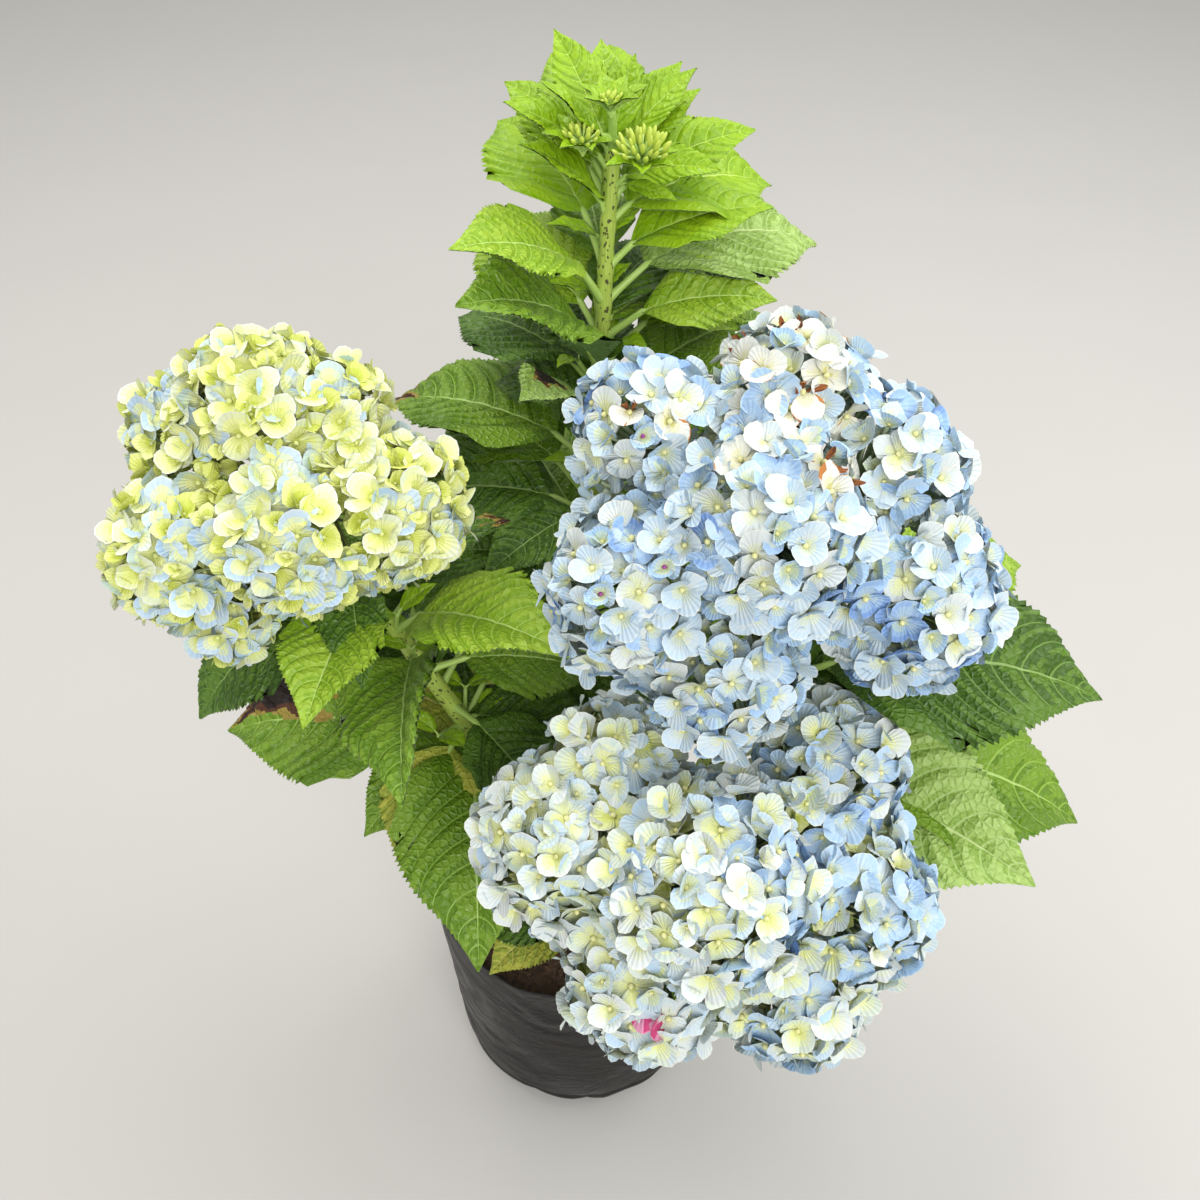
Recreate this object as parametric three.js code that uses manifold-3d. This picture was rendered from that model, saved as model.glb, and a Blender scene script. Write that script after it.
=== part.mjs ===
// A mophead hydrangea in a black nursery grow bag: four canes from one woody crown, three flower heads
// and one taller leafy shoot in bud. Millimetres, +Z up, origin at the centre of the bag's flat underside.
import * as THREE from "three";
import { mergeVertices } from "three/addons/utils/BufferGeometryUtils.js";
import Module from "manifold-3d";

const wasm = await Module();
wasm.setup();

// The space between neighbouring solids.
const GAP = 0.3;
const GOLDEN_ANGLE = Math.PI * (3 - Math.sqrt(5));

// The grow bag: a thin cup of film, pulled in round its foot.
const BAG = {
  rimRadius: 99,
  waistRadius: 97.5,
  footRadius: 78,
  footRise: 26,
  shoulderRise: 9,
  height: 216,
  wall: 1.5,
  sides: 32,
};
const SOIL_LEVEL = 200;

// The woody crown: a flared stump with one short arm for each cane.
const CROWN = {
  flareRadius: 33,
  neckRadius: 19,
  height: 24,
  lean: 3,
  rootRidges: 5,
  ridgeDepth: 0.14,
  armInset: 22,
  armRadius: 9.5,
};

const CANE_SIDES = 8;
const CANE_RINGS = 7;
const STEM_RINGS = 14;

// A leaf: outline as half widths at places along its blade, as parts of its length.
const LEAF = {
  outline: [
    [0.0, 0.03],
    [0.1, 0.19],
    [0.26, 0.305],
    [0.46, 0.32],
    [0.66, 0.235],
    [0.84, 0.105],
    [1.0, 0.008],
  ],
  slender: [
    [0.0, 0.03],
    [0.3, 0.27],
    [0.62, 0.22],
    [1.0, 0.008],
  ],
  fold: 0.26,
  stiffness: 62,
  stalkRadius: 2.1,
  stalkLift: 15,
  thinnest: 1.4,
};

// Each shoot: a cane from the crown, bare up to where its leaves begin, and leaves in crossed pairs above.
// A pair is [place along the shoot, first leaf, second leaf] and a leaf is [turn, rise, length, stalk].
// Turns run anticlockwise from +X, rises are above the horizon, both in degrees.
const SHOOTS = {
  left: {
    foot: [-18, 4, 236],
    knee: [-62, 4, 380],
    tip: [-126, 18, 512],
    footRadius: 7.2,
    tipRadius: 4,
    bare: 0.42,
    seed: 11,
    pairs: [
      [0.45, [-85, 6, 146, 12], [100, 12, 112, 30]],
      [0.49, [-110, -18, 90, 20], [62, 14, 96, 26]],
      [0.52, [184, -8, 126, 44], [20, 24, 84, 26]],
      [0.7, [-84, 34, 122, 26], [96, 20, 108, 26]],
      [0.78, [-30, 37, 104, 34], [150, 16, 104, 28]],
      [0.88, [-100, 12, 82, 20], [88, 14, 92, 24]],
      [0.9, [-154, -15, 96, 28], [30, 18, 76, 20]],
      [0.94, [-126, -5, 62, 14], [-78, 2, 62, 12]],
    ],
  },
  right: {
    foot: [16, -4, 236],
    knee: [118, 0, 352],
    tip: [96, -34, 506],
    footRadius: 7.4,
    tipRadius: 4.2,
    bare: 0.33,
    seed: 23,
    pairs: [
      [0.38, [-16, 7, 172, 60], [176, 2, 84, 26]],
      [0.45, [-4, 7, 172, 70], [76, 12, 118, 34]],
      [0.52, [-9, 7, 170, 68], [150, 14, 80, 28]],
      [0.78, [-3, 15, 152, 50], [84, 12, 120, 34]],
      [0.82, [8, -6, 100, 40], [160, 14, 96, 32]],
      [0.91, [25, 13, 130, 54], [106, 10, 104, 26]],
    ],
  },
  front: {
    foot: [4, -18, 236],
    knee: [22, -70, 320],
    tip: [64, -112, 376],
    footRadius: 6.8,
    tipRadius: 4.2,
    bare: 0.3,
    seed: 37,
    pairs: [
      [0.42, [-146, -7, 78, 20], [14, -4, 84, 28]],
      [0.6, [-170, -3, 88, 20], [-52, -8, 84, 24]],
      [0.76, [-1, -4, 116, 42], [178, -6, 70, 20]],
    ],
  },
  leader: {
    foot: [0, 18, 236],
    knee: [10, 100, 420],
    tip: [24, 122, 706],
    footRadius: 7.4,
    tipRadius: 3.4,
    bare: 0.32,
    top: 0.962,
    seed: 53,
    pairs: [
      [0.37, [145, 24, 108, 40], [30, 8, 116, 32]],
      [0.44, [192, 40, 78, 26], [75, 8, 118, 30]],
      [0.5, [116, 14, 108, 24], [18, 10, 94, 28]],
      [0.57, [138, 12, 106, 35], [48, 10, 120, 32]],
      [0.62, [154, 16, 124, 29], [-12, 2, 108, 28]],
      [0.67, [234, 71, 88, 16], [39, 16, 107, 44]],
      [0.715, [139, 12, 108, 26], [-115, 62, 73, 23]],
      [0.745, [223, 55, 98, 28], [40, 8, 94, 34]],
      [0.775, [128, 21, 100, 23], [0, 25, 72, 28]],
      [0.815, [221, 55, 92, 34], [30, 14, 119, 30]],
      [0.85, [118, 27, 98, 31], [10, 29, 76, 19]],
      [0.895, [202, 59, 56, 13], [37, 11, 99, 14]],
      [0.915, [129, 20, 75, 20], [22, 28, 74, 11]],
      [0.926, [110, 34, 106, 16], [-22, 32, 66, 12]],
      [0.938, [150, 34, 62, 10], [65, 24, 76, 16]],
      [0.945, [88, 31, 94, 15], [46, 36, 64, 13]],
    ],
  },
};
const YOUNG_LEAF = 80;
const DROOP = { low: 50, high: 34 };

// The flower heads: lobes [across, up, radius] in the plane that each head turns to the light,
// set back as they lie further out, and florets standing out all round but the underside.
const HEADS = {
  left: {
    centre: [-141, 4, 568],
    seed: 101,
    lobes: [
      [-10, 37, 46],
      [52, -7, 42],
      [-47, -27, 44],
      [24, 37, 34],
      [-30, -58, 28],
      [7, -20, 44],
      [-52, 32, 31],
    ],
  },
  right: {
    centre: [91, -46, 590],
    seed: 211,
    lobes: [
      [-52, 48, 39],
      [15, 60, 43],
      [55, 30, 42],
      [70, -28, 48],
      [-57, -26, 47],
      [-18, -64, 41],
      [0, 0, 52],
    ],
  },
  front: {
    centre: [67, -137, 440],
    seed: 307,
    lobes: [
      [-67, 15, 50],
      [68, 49, 44],
      [78, -18, 47],
      [50, -64, 41],
      [-28, -52, 45],
      [-44, 54, 38],
      [0, 0, 58],
    ],
  },
};
const HEAD = {
  facing: 48,
  setBack: 190,
  shrink: 7,
  widest: 124,
  floretRadius: 17.5,
  floretArea: 1250,
  floretRoom: 4,
  floretDepth: 14,
  floretDish: 4,
  petals: 4,
  coreDetail: 4,
  stalkRadius: 4,
};

// The buds that crown the tall shoot: three young clusters on short stalks, each in a ruff of bracts.
const BUDS = {
  clusters: [
    [22, 112, 711],
    [9, 101, 699],
    [36, 92, 697],
  ],
  coreRadius: 7.5,
  buds: 5,
  budRadius: 3.2,
  budReach: 9,
  stalkRadius: 2.4,
  bracts: 2,
  bractLength: 24,
  seed: 401,
};

const COLOURS = {
  film: { color: 0x2b2b2e, roughness: 0.5, metalness: 0 },
  soil: { color: 0x4d3b2e, roughness: 0.95, metalness: 0 },
  wood: { color: 0x6c6440, roughness: 0.8, metalness: 0 },
  cane: { color: 0x7d8a4a, roughness: 0.6, metalness: 0 },
  leaf: { color: 0x4f7d2c, roughness: 0.45, metalness: 0 },
  young: { color: 0x86b33c, roughness: 0.45, metalness: 0 },
  lime: { color: 0xdde6a4, roughness: 0.6, metalness: 0 },
  sky: { color: 0xc4d8ec, roughness: 0.6, metalness: 0 },
  cream: { color: 0xe6ebe2, roughness: 0.6, metalness: 0 },
};

const vector = (numbers) => new THREE.Vector3(...numbers);
const radians = THREE.MathUtils.degToRad;
const mix = THREE.MathUtils.lerp;

// A repeatable number from 0 to 1 for each seed and place.
function chance(seed, place) {
  let state = seed * 7919 + place * 104729 + 12345;
  for (let step = 0; step < 3; step += 1) {
    state = (state * 1664525 + 1013904223) % 4294967296;
  }
  return state / 4294967296;
}

function manifoldOf(geometry) {
  const bare = geometry.clone();
  bare.deleteAttribute("normal");
  bare.deleteAttribute("uv");
  const merged = mergeVertices(bare, 1e-3);
  return new wasm.Manifold(
    new wasm.Mesh({
      numProp: 3,
      vertProperties: new Float32Array(merged.attributes.position.array),
      triVerts: new Uint32Array(merged.index.array),
    }),
  );
}

function geometryOf(solid) {
  const mesh = solid.getMesh();
  const points = new Float32Array(mesh.numVert * 3);
  for (let vertex = 0; vertex < mesh.numVert; vertex += 1) {
    const start = vertex * mesh.numProp;
    points.set(mesh.vertProperties.subarray(start, start + 3), vertex * 3);
  }
  const geometry = new THREE.BufferGeometry();
  geometry.setAttribute("position", new THREE.BufferAttribute(points, 3));
  geometry.setIndex(new THREE.BufferAttribute(new Uint32Array(mesh.triVerts), 1));
  geometry.computeVertexNormals();
  return geometry;
}

// Joined solids as one body: hollows that the joining seals are filled, and loose scraps are dropped.
function join(solids) {
  const whole = solids.reduce((sum, solid) => sum.add(solid));
  return whole.decompose().reduce((kept, piece) => (piece.volume() > kept.volume() ? piece : kept));
}

// A right-handed frame along a line: across, along, over.
function frameAlong(along, up) {
  const forward = along.clone().normalize();
  const across = forward.clone().cross(up).normalize();
  return { across, forward, over: across.clone().cross(forward) };
}

// A capped cylinder whose rings are laid out again: place(share along, ring x, ring z) gives each point.
function shapedCylinder(sides, rings, place) {
  const geometry = new THREE.CylinderGeometry(1, 1, 1, sides, rings);
  const points = geometry.attributes.position;
  for (let index = 0; index < points.count; index += 1) {
    const share = points.getY(index) + 0.5;
    const moved = place(share, points.getX(index), points.getZ(index));
    points.setXYZ(index, moved.x, moved.y, moved.z);
  }
  return geometry;
}

// A tapering limb along part of a curve, square cut at both ends.
function limb(curve, from, to, radiusAt, sides, rings) {
  return manifoldOf(
    shapedCylinder(sides, rings, (share, x, z) => {
      const at = mix(from, to, share);
      const { across, over } = frameAlong(curve.getTangent(at), new THREE.Vector3(0, 1, 0));
      const radius = radiusAt(at);
      return curve
        .getPoint(at)
        .addScaledVector(across, x * radius)
        .addScaledVector(over, z * radius);
    }),
  );
}

// The points down the middle of a leaf: its root in the stem, its stalk, then its drooping blade.
function leafLine({ root, turn, rise, length, stalk }, outline) {
  const heading = new THREE.Vector3(Math.cos(radians(turn)), Math.sin(radians(turn)), 0);
  const aim = (angle) =>
    heading
      .clone()
      .multiplyScalar(Math.cos(radians(angle)))
      .setZ(Math.sin(radians(angle)));
  const droop = mix(DROOP.high, DROOP.low, Math.min(1, Math.max(0, (length - 60) / 60)));
  const lift = aim(rise + LEAF.stalkLift);
  const stations = [
    { point: root.clone(), aim: lift, half: LEAF.stalkRadius },
    { point: root.clone().addScaledVector(lift, stalk * 0.55), aim: lift, half: LEAF.stalkRadius * 0.8 },
  ];
  const point = root.clone().addScaledVector(lift, stalk);
  outline.forEach(([place, half], index) => {
    if (index > 0) {
      const before = outline[index - 1][0];
      const middle = (place + before) / 2;
      point.addScaledVector(aim(rise - droop * middle), (place - before) * length);
    }
    stations.push({ point: point.clone(), aim: aim(rise - droop * place), half: half * length });
  });
  return stations;
}

// One leaf as a closed solid: a stalk that widens into a thin blade folded up along its midrib.
function leafSolid(leaf, outline = LEAF.outline) {
  const stations = leafLine(leaf, outline);
  const thickness = Math.max(LEAF.thinnest, leaf.length / LEAF.stiffness);
  const up = new THREE.Vector3(0, 0, 1);
  return manifoldOf(
    shapedCylinder(4, stations.length - 1, (share, x, z) => {
      const station = stations[Math.round(share * (stations.length - 1))];
      const { across, over } = frameAlong(station.aim, up);
      const isBlade = station.half > LEAF.stalkRadius * 1.5;
      const isTip = station === stations.at(-1);
      const raised = isBlade ? Math.abs(x) * station.half * LEAF.fold : 0;
      const deep = isTip ? thickness * 0.3 : isBlade ? thickness / 2 : station.half;
      return station.point
        .clone()
        .addScaledVector(across, x * station.half)
        .addScaledVector(over, z * deep + raised);
    }),
  );
}

function shootCurve({ foot, knee, tip }) {
  return new THREE.QuadraticBezierCurve3(vector(foot), vector(knee), vector(tip));
}

const shootRadius = (shoot) => (at) => mix(shoot.footRadius, shoot.tipRadius, at);

// Two cut faces this far apart along the curve leave the gap between them.
const gapShare = (curve) => GAP / curve.getLength();

function caneSolid(shoot) {
  const curve = shootCurve(shoot);
  return limb(curve, 0, shoot.bare, shootRadius(shoot), CANE_SIDES, CANE_RINGS);
}

// The leaves that a shoot bears, with the small differences that no two leaves share.
function leavesOf(shoot) {
  const curve = shootCurve(shoot);
  return shoot.pairs.flatMap(([at, ...pair], node) =>
    pair.map(([turn, rise, length, stalk], side) => ({
      root: curve.getPoint(at),
      turn: turn + (chance(shoot.seed, node * 2 + side) - 0.5) * 4,
      rise,
      length,
      stalk,
    })),
  );
}

function foliageSolid(shoot, keepOut) {
  const curve = shootCurve(shoot);
  const from = shoot.bare + gapShare(curve) * 1.3;
  const stem = limb(curve, from, shoot.top ?? 1, shootRadius(shoot), CANE_SIDES, STEM_RINGS);
  const leaves = leavesOf(shoot)
    .map((leaf) => leafSolid(leaf, leaf.length < YOUNG_LEAF ? LEAF.slender : LEAF.outline))
    .filter((leaf) => keepOut.every((other) => leaf.intersect(other).isEmpty()));
  return join([stem, ...leaves]);
}

// The short arm of the crown that each cane stands on, square to the cane's own start.
function armSolid(shoot) {
  const foot = vector(shoot.foot);
  const start = shootCurve(shoot).getTangent(0).normalize();
  const end = foot.clone().addScaledVector(start, -GAP);
  const bend = foot.clone().addScaledVector(start, -CROWN.armInset);
  const curve = new THREE.QuadraticBezierCurve3(new THREE.Vector3(0, 0, SOIL_LEVEL + CROWN.armRadius * 1.5), bend, end);
  return limb(curve, 0, 1, (at) => mix(CROWN.armRadius, shoot.footRadius, at), CANE_SIDES, 4);
}

function crownSolid() {
  const stump = manifoldOf(
    shapedCylinder(20, 5, (share, x, z) => {
      const spread = (1 - share) ** 2.2;
      const ridge = 1 + CROWN.ridgeDepth * spread * Math.cos(Math.atan2(z, x) * CROWN.rootRidges);
      const radius = mix(CROWN.neckRadius, CROWN.flareRadius, spread) * ridge;
      return new THREE.Vector3(
        x * radius + CROWN.lean * share,
        -z * radius,
        SOIL_LEVEL + GAP + share * CROWN.height,
      );
    }),
  );
  return join([stump, ...Object.values(SHOOTS).map(armSolid)]);
}

const bagProfile = (inset, foot, top) => [
  [0, foot],
  [BAG.footRadius - inset, foot],
  [mix(BAG.footRadius, BAG.waistRadius, 0.72) - inset, foot + BAG.shoulderRise],
  [BAG.waistRadius - 1.5 - inset, foot + BAG.footRise],
  [BAG.waistRadius - inset, BAG.height / 2],
  [mix(BAG.waistRadius, BAG.rimRadius, 0.9) - inset, top],
];

function turned(profile) {
  const points = profile.map(([radius, height]) => new THREE.Vector2(radius, height));
  const geometry = new THREE.LatheGeometry(points, BAG.sides);
  geometry.rotateX(Math.PI / 2);
  return manifoldOf(geometry);
}

function bagSolid() {
  const outside = bagProfile(0, 0, BAG.height);
  const inside = bagProfile(BAG.wall, BAG.wall, BAG.height);
  return turned([...outside, ...inside.reverse()]);
}

function soilSolid() {
  const inset = BAG.wall + GAP;
  return turned([...bagProfile(inset, inset, SOIL_LEVEL), [0, SOIL_LEVEL]]);
}

// A head's own frame: across it, up it, and out of it toward the light.
function headFrame() {
  const facing = radians(HEAD.facing);
  return {
    across: new THREE.Vector3(1, 0, 0),
    up: new THREE.Vector3(0, Math.sin(facing), Math.cos(facing)),
    out: new THREE.Vector3(0, -Math.cos(facing), Math.sin(facing)),
  };
}

function headLobes({ centre, lobes }) {
  const { across, up, out } = headFrame();
  return lobes.map(([x, y, radius]) => ({
    centre: vector(centre)
      .addScaledVector(across, x)
      .addScaledVector(up, y)
      .addScaledVector(out, -(x * x + y * y) / HEAD.setBack),
    radius: radius - HEAD.shrink,
  }));
}

// Where a ray from the head's centre last leaves its lobes.
function headSurface(centre, lobes, direction) {
  let best = null;
  for (const lobe of lobes) {
    const offset = centre.clone().sub(lobe.centre);
    const half = offset.dot(direction);
    const inside = half * half - offset.lengthSq() + lobe.radius ** 2;
    if (inside > 0) {
      const reach = Math.sqrt(inside) - half;
      if (!best || reach > best.reach) {
        const point = centre.clone().addScaledVector(direction, reach);
        best = { reach, point, normal: point.clone().sub(lobe.centre).normalize() };
      }
    }
  }
  return best;
}

// The core of a head: a ball drawn out to the head's lobes.
function coreSolid(head) {
  const centre = vector(head.centre);
  const lobes = headLobes(head);
  const ball = new THREE.IcosahedronGeometry(1, HEAD.coreDetail);
  const points = ball.attributes.position;
  for (let index = 0; index < points.count; index += 1) {
    const direction = new THREE.Vector3().fromBufferAttribute(points, index).normalize();
    const { point } = headSurface(centre, lobes, direction);
    points.setXYZ(index, point.x, point.y, point.z);
  }
  return manifoldOf(ball);
}

// One floret: a shallow funnel of four petals with its point sunk in the head.
function floretSolid(point, normal, radius, spin) {
  const helper = Math.abs(normal.z) > 0.9 ? new THREE.Vector3(1, 0, 0) : new THREE.Vector3(0, 0, 1);
  const { across, forward, over } = frameAlong(normal.clone().negate(), helper);
  const geometry = new THREE.ConeGeometry(1, 1, HEAD.petals, 1);
  const points = geometry.attributes.position;
  for (let index = 0; index < points.count; index += 1) {
    const x = points.getX(index);
    const z = points.getZ(index);
    const isPoint = points.getY(index) > 0;
    const isRim = !isPoint && Math.hypot(x, z) > 0.5;
    const reach = isRim ? radius : 0;
    const angle = Math.atan2(x, z) + spin;
    const depth = isPoint ? HEAD.floretDepth : isRim ? 0 : HEAD.floretDish;
    const moved = point
      .clone()
      .addScaledVector(across, Math.sin(angle) * reach)
      .addScaledVector(over, Math.cos(angle) * reach)
      .addScaledVector(forward, depth - HEAD.shrink);
    points.setXYZ(index, moved.x, moved.y, moved.z);
  }
  return manifoldOf(geometry);
}

// Florets spread evenly over every lobe, left out where another lobe or the underside takes their place.
function floretSolids(head) {
  const lobes = headLobes(head);
  const { out } = headFrame();
  const lowest = Math.cos(radians(HEAD.widest));
  return lobes.flatMap((lobe, number) => {
    const count = Math.round((4 * Math.PI * lobe.radius ** 2) / HEAD.floretArea);
    return Array.from({ length: count }, (_, index) => {
      const height = 1 - (2 * index + 1) / count;
      const flat = Math.sqrt(1 - height * height);
      const angle = index * GOLDEN_ANGLE + number;
      const normal = new THREE.Vector3(flat * Math.cos(angle), flat * Math.sin(angle), height);
      const point = lobe.centre.clone().addScaledVector(normal, lobe.radius);
      const isBuried = lobes.some(
        (other) => other !== lobe && point.distanceTo(other.centre) < other.radius + HEAD.floretRoom,
      );
      if (isBuried || normal.dot(out) < lowest) {
        return [];
      }
      const seed = head.seed + number;
      const size = HEAD.floretRadius * mix(0.88, 1.08, chance(seed, index));
      return [floretSolid(point, normal, size, chance(seed + 50, index) * Math.PI)];
    }).flat();
  });
}

// A flower head: a smaller core of lobes, the florets that stand out of it, and its stalk.
function bloomSolid(head, shoot) {
  const curve = shootCurve(shoot);
  const start = curve.getTangent(1).normalize();
  const foot = vector(shoot.tip).addScaledVector(start, GAP);
  const bend = vector(shoot.tip).addScaledVector(start, 16);
  const stalk = new THREE.QuadraticBezierCurve3(foot, bend, vector(head.centre));
  const stem = limb(stalk, 0, 1, () => HEAD.stalkRadius, CANE_SIDES, 4);
  return join([coreSolid(head), stem, ...floretSolids(head)]);
}

// The bud clusters, joined at the top of the tall shoot's stem.
function budsSolid(shoot) {
  const curve = shootCurve(shoot);
  const start = curve.getTangent(shoot.top).normalize();
  const base = curve.getPoint(shoot.top).addScaledVector(start, GAP);
  const pieces = BUDS.clusters.flatMap((place, cluster) => {
    const centre = vector(place);
    const bend = base.clone().addScaledVector(start, 10);
    const stalk = new THREE.QuadraticBezierCurve3(base, bend, centre);
    const ball = new THREE.IcosahedronGeometry(BUDS.coreRadius, 1);
    ball.translate(centre.x, centre.y, centre.z);
    const buds = Array.from({ length: BUDS.buds }, (_, index) => {
      const height = mix(1, 0.1, (index + 0.5) / BUDS.buds);
      const flat = Math.sqrt(1 - height * height);
      const angle = index * GOLDEN_ANGLE + cluster;
      const bud = new THREE.OctahedronGeometry(BUDS.budRadius, 0);
      bud.scale(1, 1, 1.6);
      bud.translate(
        centre.x + flat * Math.cos(angle) * BUDS.budReach,
        centre.y + flat * Math.sin(angle) * BUDS.budReach,
        centre.z + height * BUDS.budReach,
      );
      return manifoldOf(bud);
    });
    const outward = Math.atan2(centre.y - base.y, centre.x - base.x) * THREE.MathUtils.RAD2DEG;
    const bracts = Array.from({ length: BUDS.bracts }, (_, index) =>
      leafSolid(
        {
          root: centre.clone().setZ(centre.z - BUDS.coreRadius * 0.7),
          turn: outward + (index - 0.5) * 110,
          rise: 34,
          length: BUDS.bractLength * mix(0.85, 1.15, chance(BUDS.seed + cluster, index)),
          stalk: 6,
        },
        LEAF.slender,
      ),
    );
    const stem = limb(stalk, 0, 1, () => BUDS.stalkRadius, 6, 3);
    return [stem, manifoldOf(ball), ...buds, ...bracts];
  });
  return join(pieces);
}

const group = new THREE.Group();

function place(name, solid, colour) {
  const mesh = new THREE.Mesh(geometryOf(solid), new THREE.MeshStandardMaterial(colour));
  mesh.name = name;
  group.add(mesh);
  return solid;
}

place("grow_bag", bagSolid(), COLOURS.film);
place("potting_soil", soilSolid(), COLOURS.soil);

const limbs = [place("woody_crown", crownSolid(), COLOURS.wood)];
for (const [side, shoot] of Object.entries(SHOOTS)) {
  limbs.push(place(`${side}_cane`, caneSolid(shoot), COLOURS.cane));
}

const flowers = [
  place("left_bloom", bloomSolid(HEADS.left, SHOOTS.left), COLOURS.lime),
  place("right_bloom", bloomSolid(HEADS.right, SHOOTS.right), COLOURS.sky),
  place("front_bloom", bloomSolid(HEADS.front, SHOOTS.front), COLOURS.cream),
  place("leader_buds", budsSolid(SHOOTS.leader), COLOURS.young),
];

const taken = [...limbs, ...flowers];
for (const [side, shoot] of Object.entries(SHOOTS)) {
  taken.push(place(`${side}_foliage`, foliageSolid(shoot, taken), COLOURS.leaf));
}

export default group;
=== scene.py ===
"""A mophead hydrangea in a black nursery grow bag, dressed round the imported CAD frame.

The shoots, leaves and flower heads grow by the same seeded rule as the solids, in millimetres,
and are carried on to real-size florets, toothed and quilted leaves, stalks, buds, bark relief and
wrinkled film.
"""

import logging
import math
from dataclasses import dataclass, field
from enum import Enum
from typing import Callable

import bmesh
import bpy
import numpy as np
from bpy.types import Material, NodeSocket, Object
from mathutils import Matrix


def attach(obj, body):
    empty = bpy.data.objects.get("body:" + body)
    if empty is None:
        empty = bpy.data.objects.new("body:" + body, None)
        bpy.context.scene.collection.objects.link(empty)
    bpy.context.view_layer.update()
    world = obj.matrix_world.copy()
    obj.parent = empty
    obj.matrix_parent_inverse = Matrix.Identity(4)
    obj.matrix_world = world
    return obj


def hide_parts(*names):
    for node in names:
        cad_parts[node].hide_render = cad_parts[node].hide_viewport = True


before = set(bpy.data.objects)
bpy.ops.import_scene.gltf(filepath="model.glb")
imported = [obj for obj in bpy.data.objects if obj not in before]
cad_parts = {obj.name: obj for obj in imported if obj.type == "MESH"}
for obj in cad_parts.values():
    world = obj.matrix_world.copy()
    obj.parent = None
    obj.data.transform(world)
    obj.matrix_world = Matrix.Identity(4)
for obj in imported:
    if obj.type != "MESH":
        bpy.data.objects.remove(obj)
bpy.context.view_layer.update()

Array = np.ndarray
Point = tuple[float, float, float]
Axes = tuple[Array, Array, Array]
# A floret's place, outward direction, lobe and number there.
Seat = tuple[Array, Array, int, int]
# A leaf in the rule: turn and rise in degrees, then the lengths of its blade and stalk.
Leafing = tuple[float, float, float, float]

MM = 0.001
GOLDEN_ANGLE = math.pi * (3 - math.sqrt(5))
FULL_TURN = 2 * math.pi
UPWARD = np.array([0.0, 0.0, 1.0])
SIDEWAYS = np.array([1.0, 0.0, 0.0])
# Where red, green and blue start in a 0xRRGGBB colour.
CHANNELS = (16, 8, 0)
# The source's rule for repeatable numbers.
CHANCE_SEED, CHANCE_PLACE, CHANCE_START = 7919, 104729, 12345
CHANCE_FACTOR, CHANCE_STEP, CHANCE_SPAN = 1664525, 1013904223, 2**32
BODY = "root"
LOG = logging.getLogger("hydrangea")


# Numbers and curves.


def chance(seed: int, place: int) -> float:
    """A repeatable number for each seed and place, by the source's rule.

    Args:
        seed: The seed of the shoot, head or cluster.
        place: The place of the thing within it.

    Returns:
        A number from 0 to 1.
    """
    state = seed * CHANCE_SEED + place * CHANCE_PLACE + CHANCE_START
    for _ in range(3):
        state = (state * CHANCE_FACTOR + CHANCE_STEP) % CHANCE_SPAN
    return state / CHANCE_SPAN


def mix(start: float, end: float, share: float) -> float:
    """Goes from start to end by share."""
    return start + (end - start) * share


def unit(vectors: Array) -> Array:
    """Scales vectors to length one."""
    return vectors / np.maximum(np.linalg.norm(vectors, axis=-1, keepdims=True), 1e-12)


def turns(count: int) -> Array:
    """Angles spread evenly round a circle."""
    return np.arange(count) * (FULL_TURN / count)


def hump(at: Array, centre: float, width: float) -> Array:
    """A smooth bump of height one round a place."""
    return np.exp(-(((at - centre) / width) ** 2))


def stacked(*coordinates: Array) -> Array:
    """Coordinates spread to one shape and put side by side."""
    return np.stack(np.broadcast_arrays(*coordinates), axis=-1)


def between(values: Array) -> Array:
    """The mean of the two opposite corners of each cell of a grid."""
    return (values[1:, 1:] + values[:-1, :-1]) / 2


def frame_along(along: Array) -> tuple[Array, Array, Array]:
    """A right-handed frame along a line, kept upright unless the line is nearly so itself.

    Args:
        along: The line's direction.

    Returns:
        The unit directions across, along and over.
    """
    forward = unit(along)
    across = unit(np.cross(forward, SIDEWAYS if abs(along[2]) > 0.9 else UPWARD))
    return across, forward, np.cross(across, forward)


def smooth_steps(places: Array, values: Array, at: Array) -> Array:
    """Reads a smooth curve through a row of values.

    Args:
        places: Where the values are, rising.
        values: The values there.
        at: Where to read.

    Returns:
        The curve's values at those places.
    """
    slopes = np.gradient(values, places)
    index = np.clip(np.searchsorted(places, at, side="right") - 1, 0, len(places) - 2)
    width = places[index + 1] - places[index]
    t = np.clip((at - places[index]) / width, 0, 1)
    return (
        (2 * t**3 - 3 * t**2 + 1) * values[index]
        + (t**3 - 2 * t**2 + t) * width * slopes[index]
        + (3 * t**2 - 2 * t**3) * values[index + 1]
        + (t**3 - t**2) * width * slopes[index + 1]
    )


@dataclass(frozen=True)
class Bend:
    """A quadratic curve from a foot by a knee to a tip."""

    foot: Point | Array
    knee: Point | Array
    tip: Point | Array

    def at(self, share: Array) -> Array:
        """Points along the curve.

        Args:
            share: Places along it from 0 to 1.

        Returns:
            A point for each place.
        """
        t = np.asarray(share, float)[..., None]
        foot, knee, tip = (np.array(p, float) for p in (self.foot, self.knee, self.tip))
        return (1 - t) ** 2 * foot + 2 * t * (1 - t) * knee + t**2 * tip

    def heading(self, share: float) -> Array:
        """The unit direction of the curve at a place."""
        foot, knee, tip = (np.array(p, float) for p in (self.foot, self.knee, self.tip))
        return unit((1 - share) * (knee - foot) + share * (tip - knee))


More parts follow.
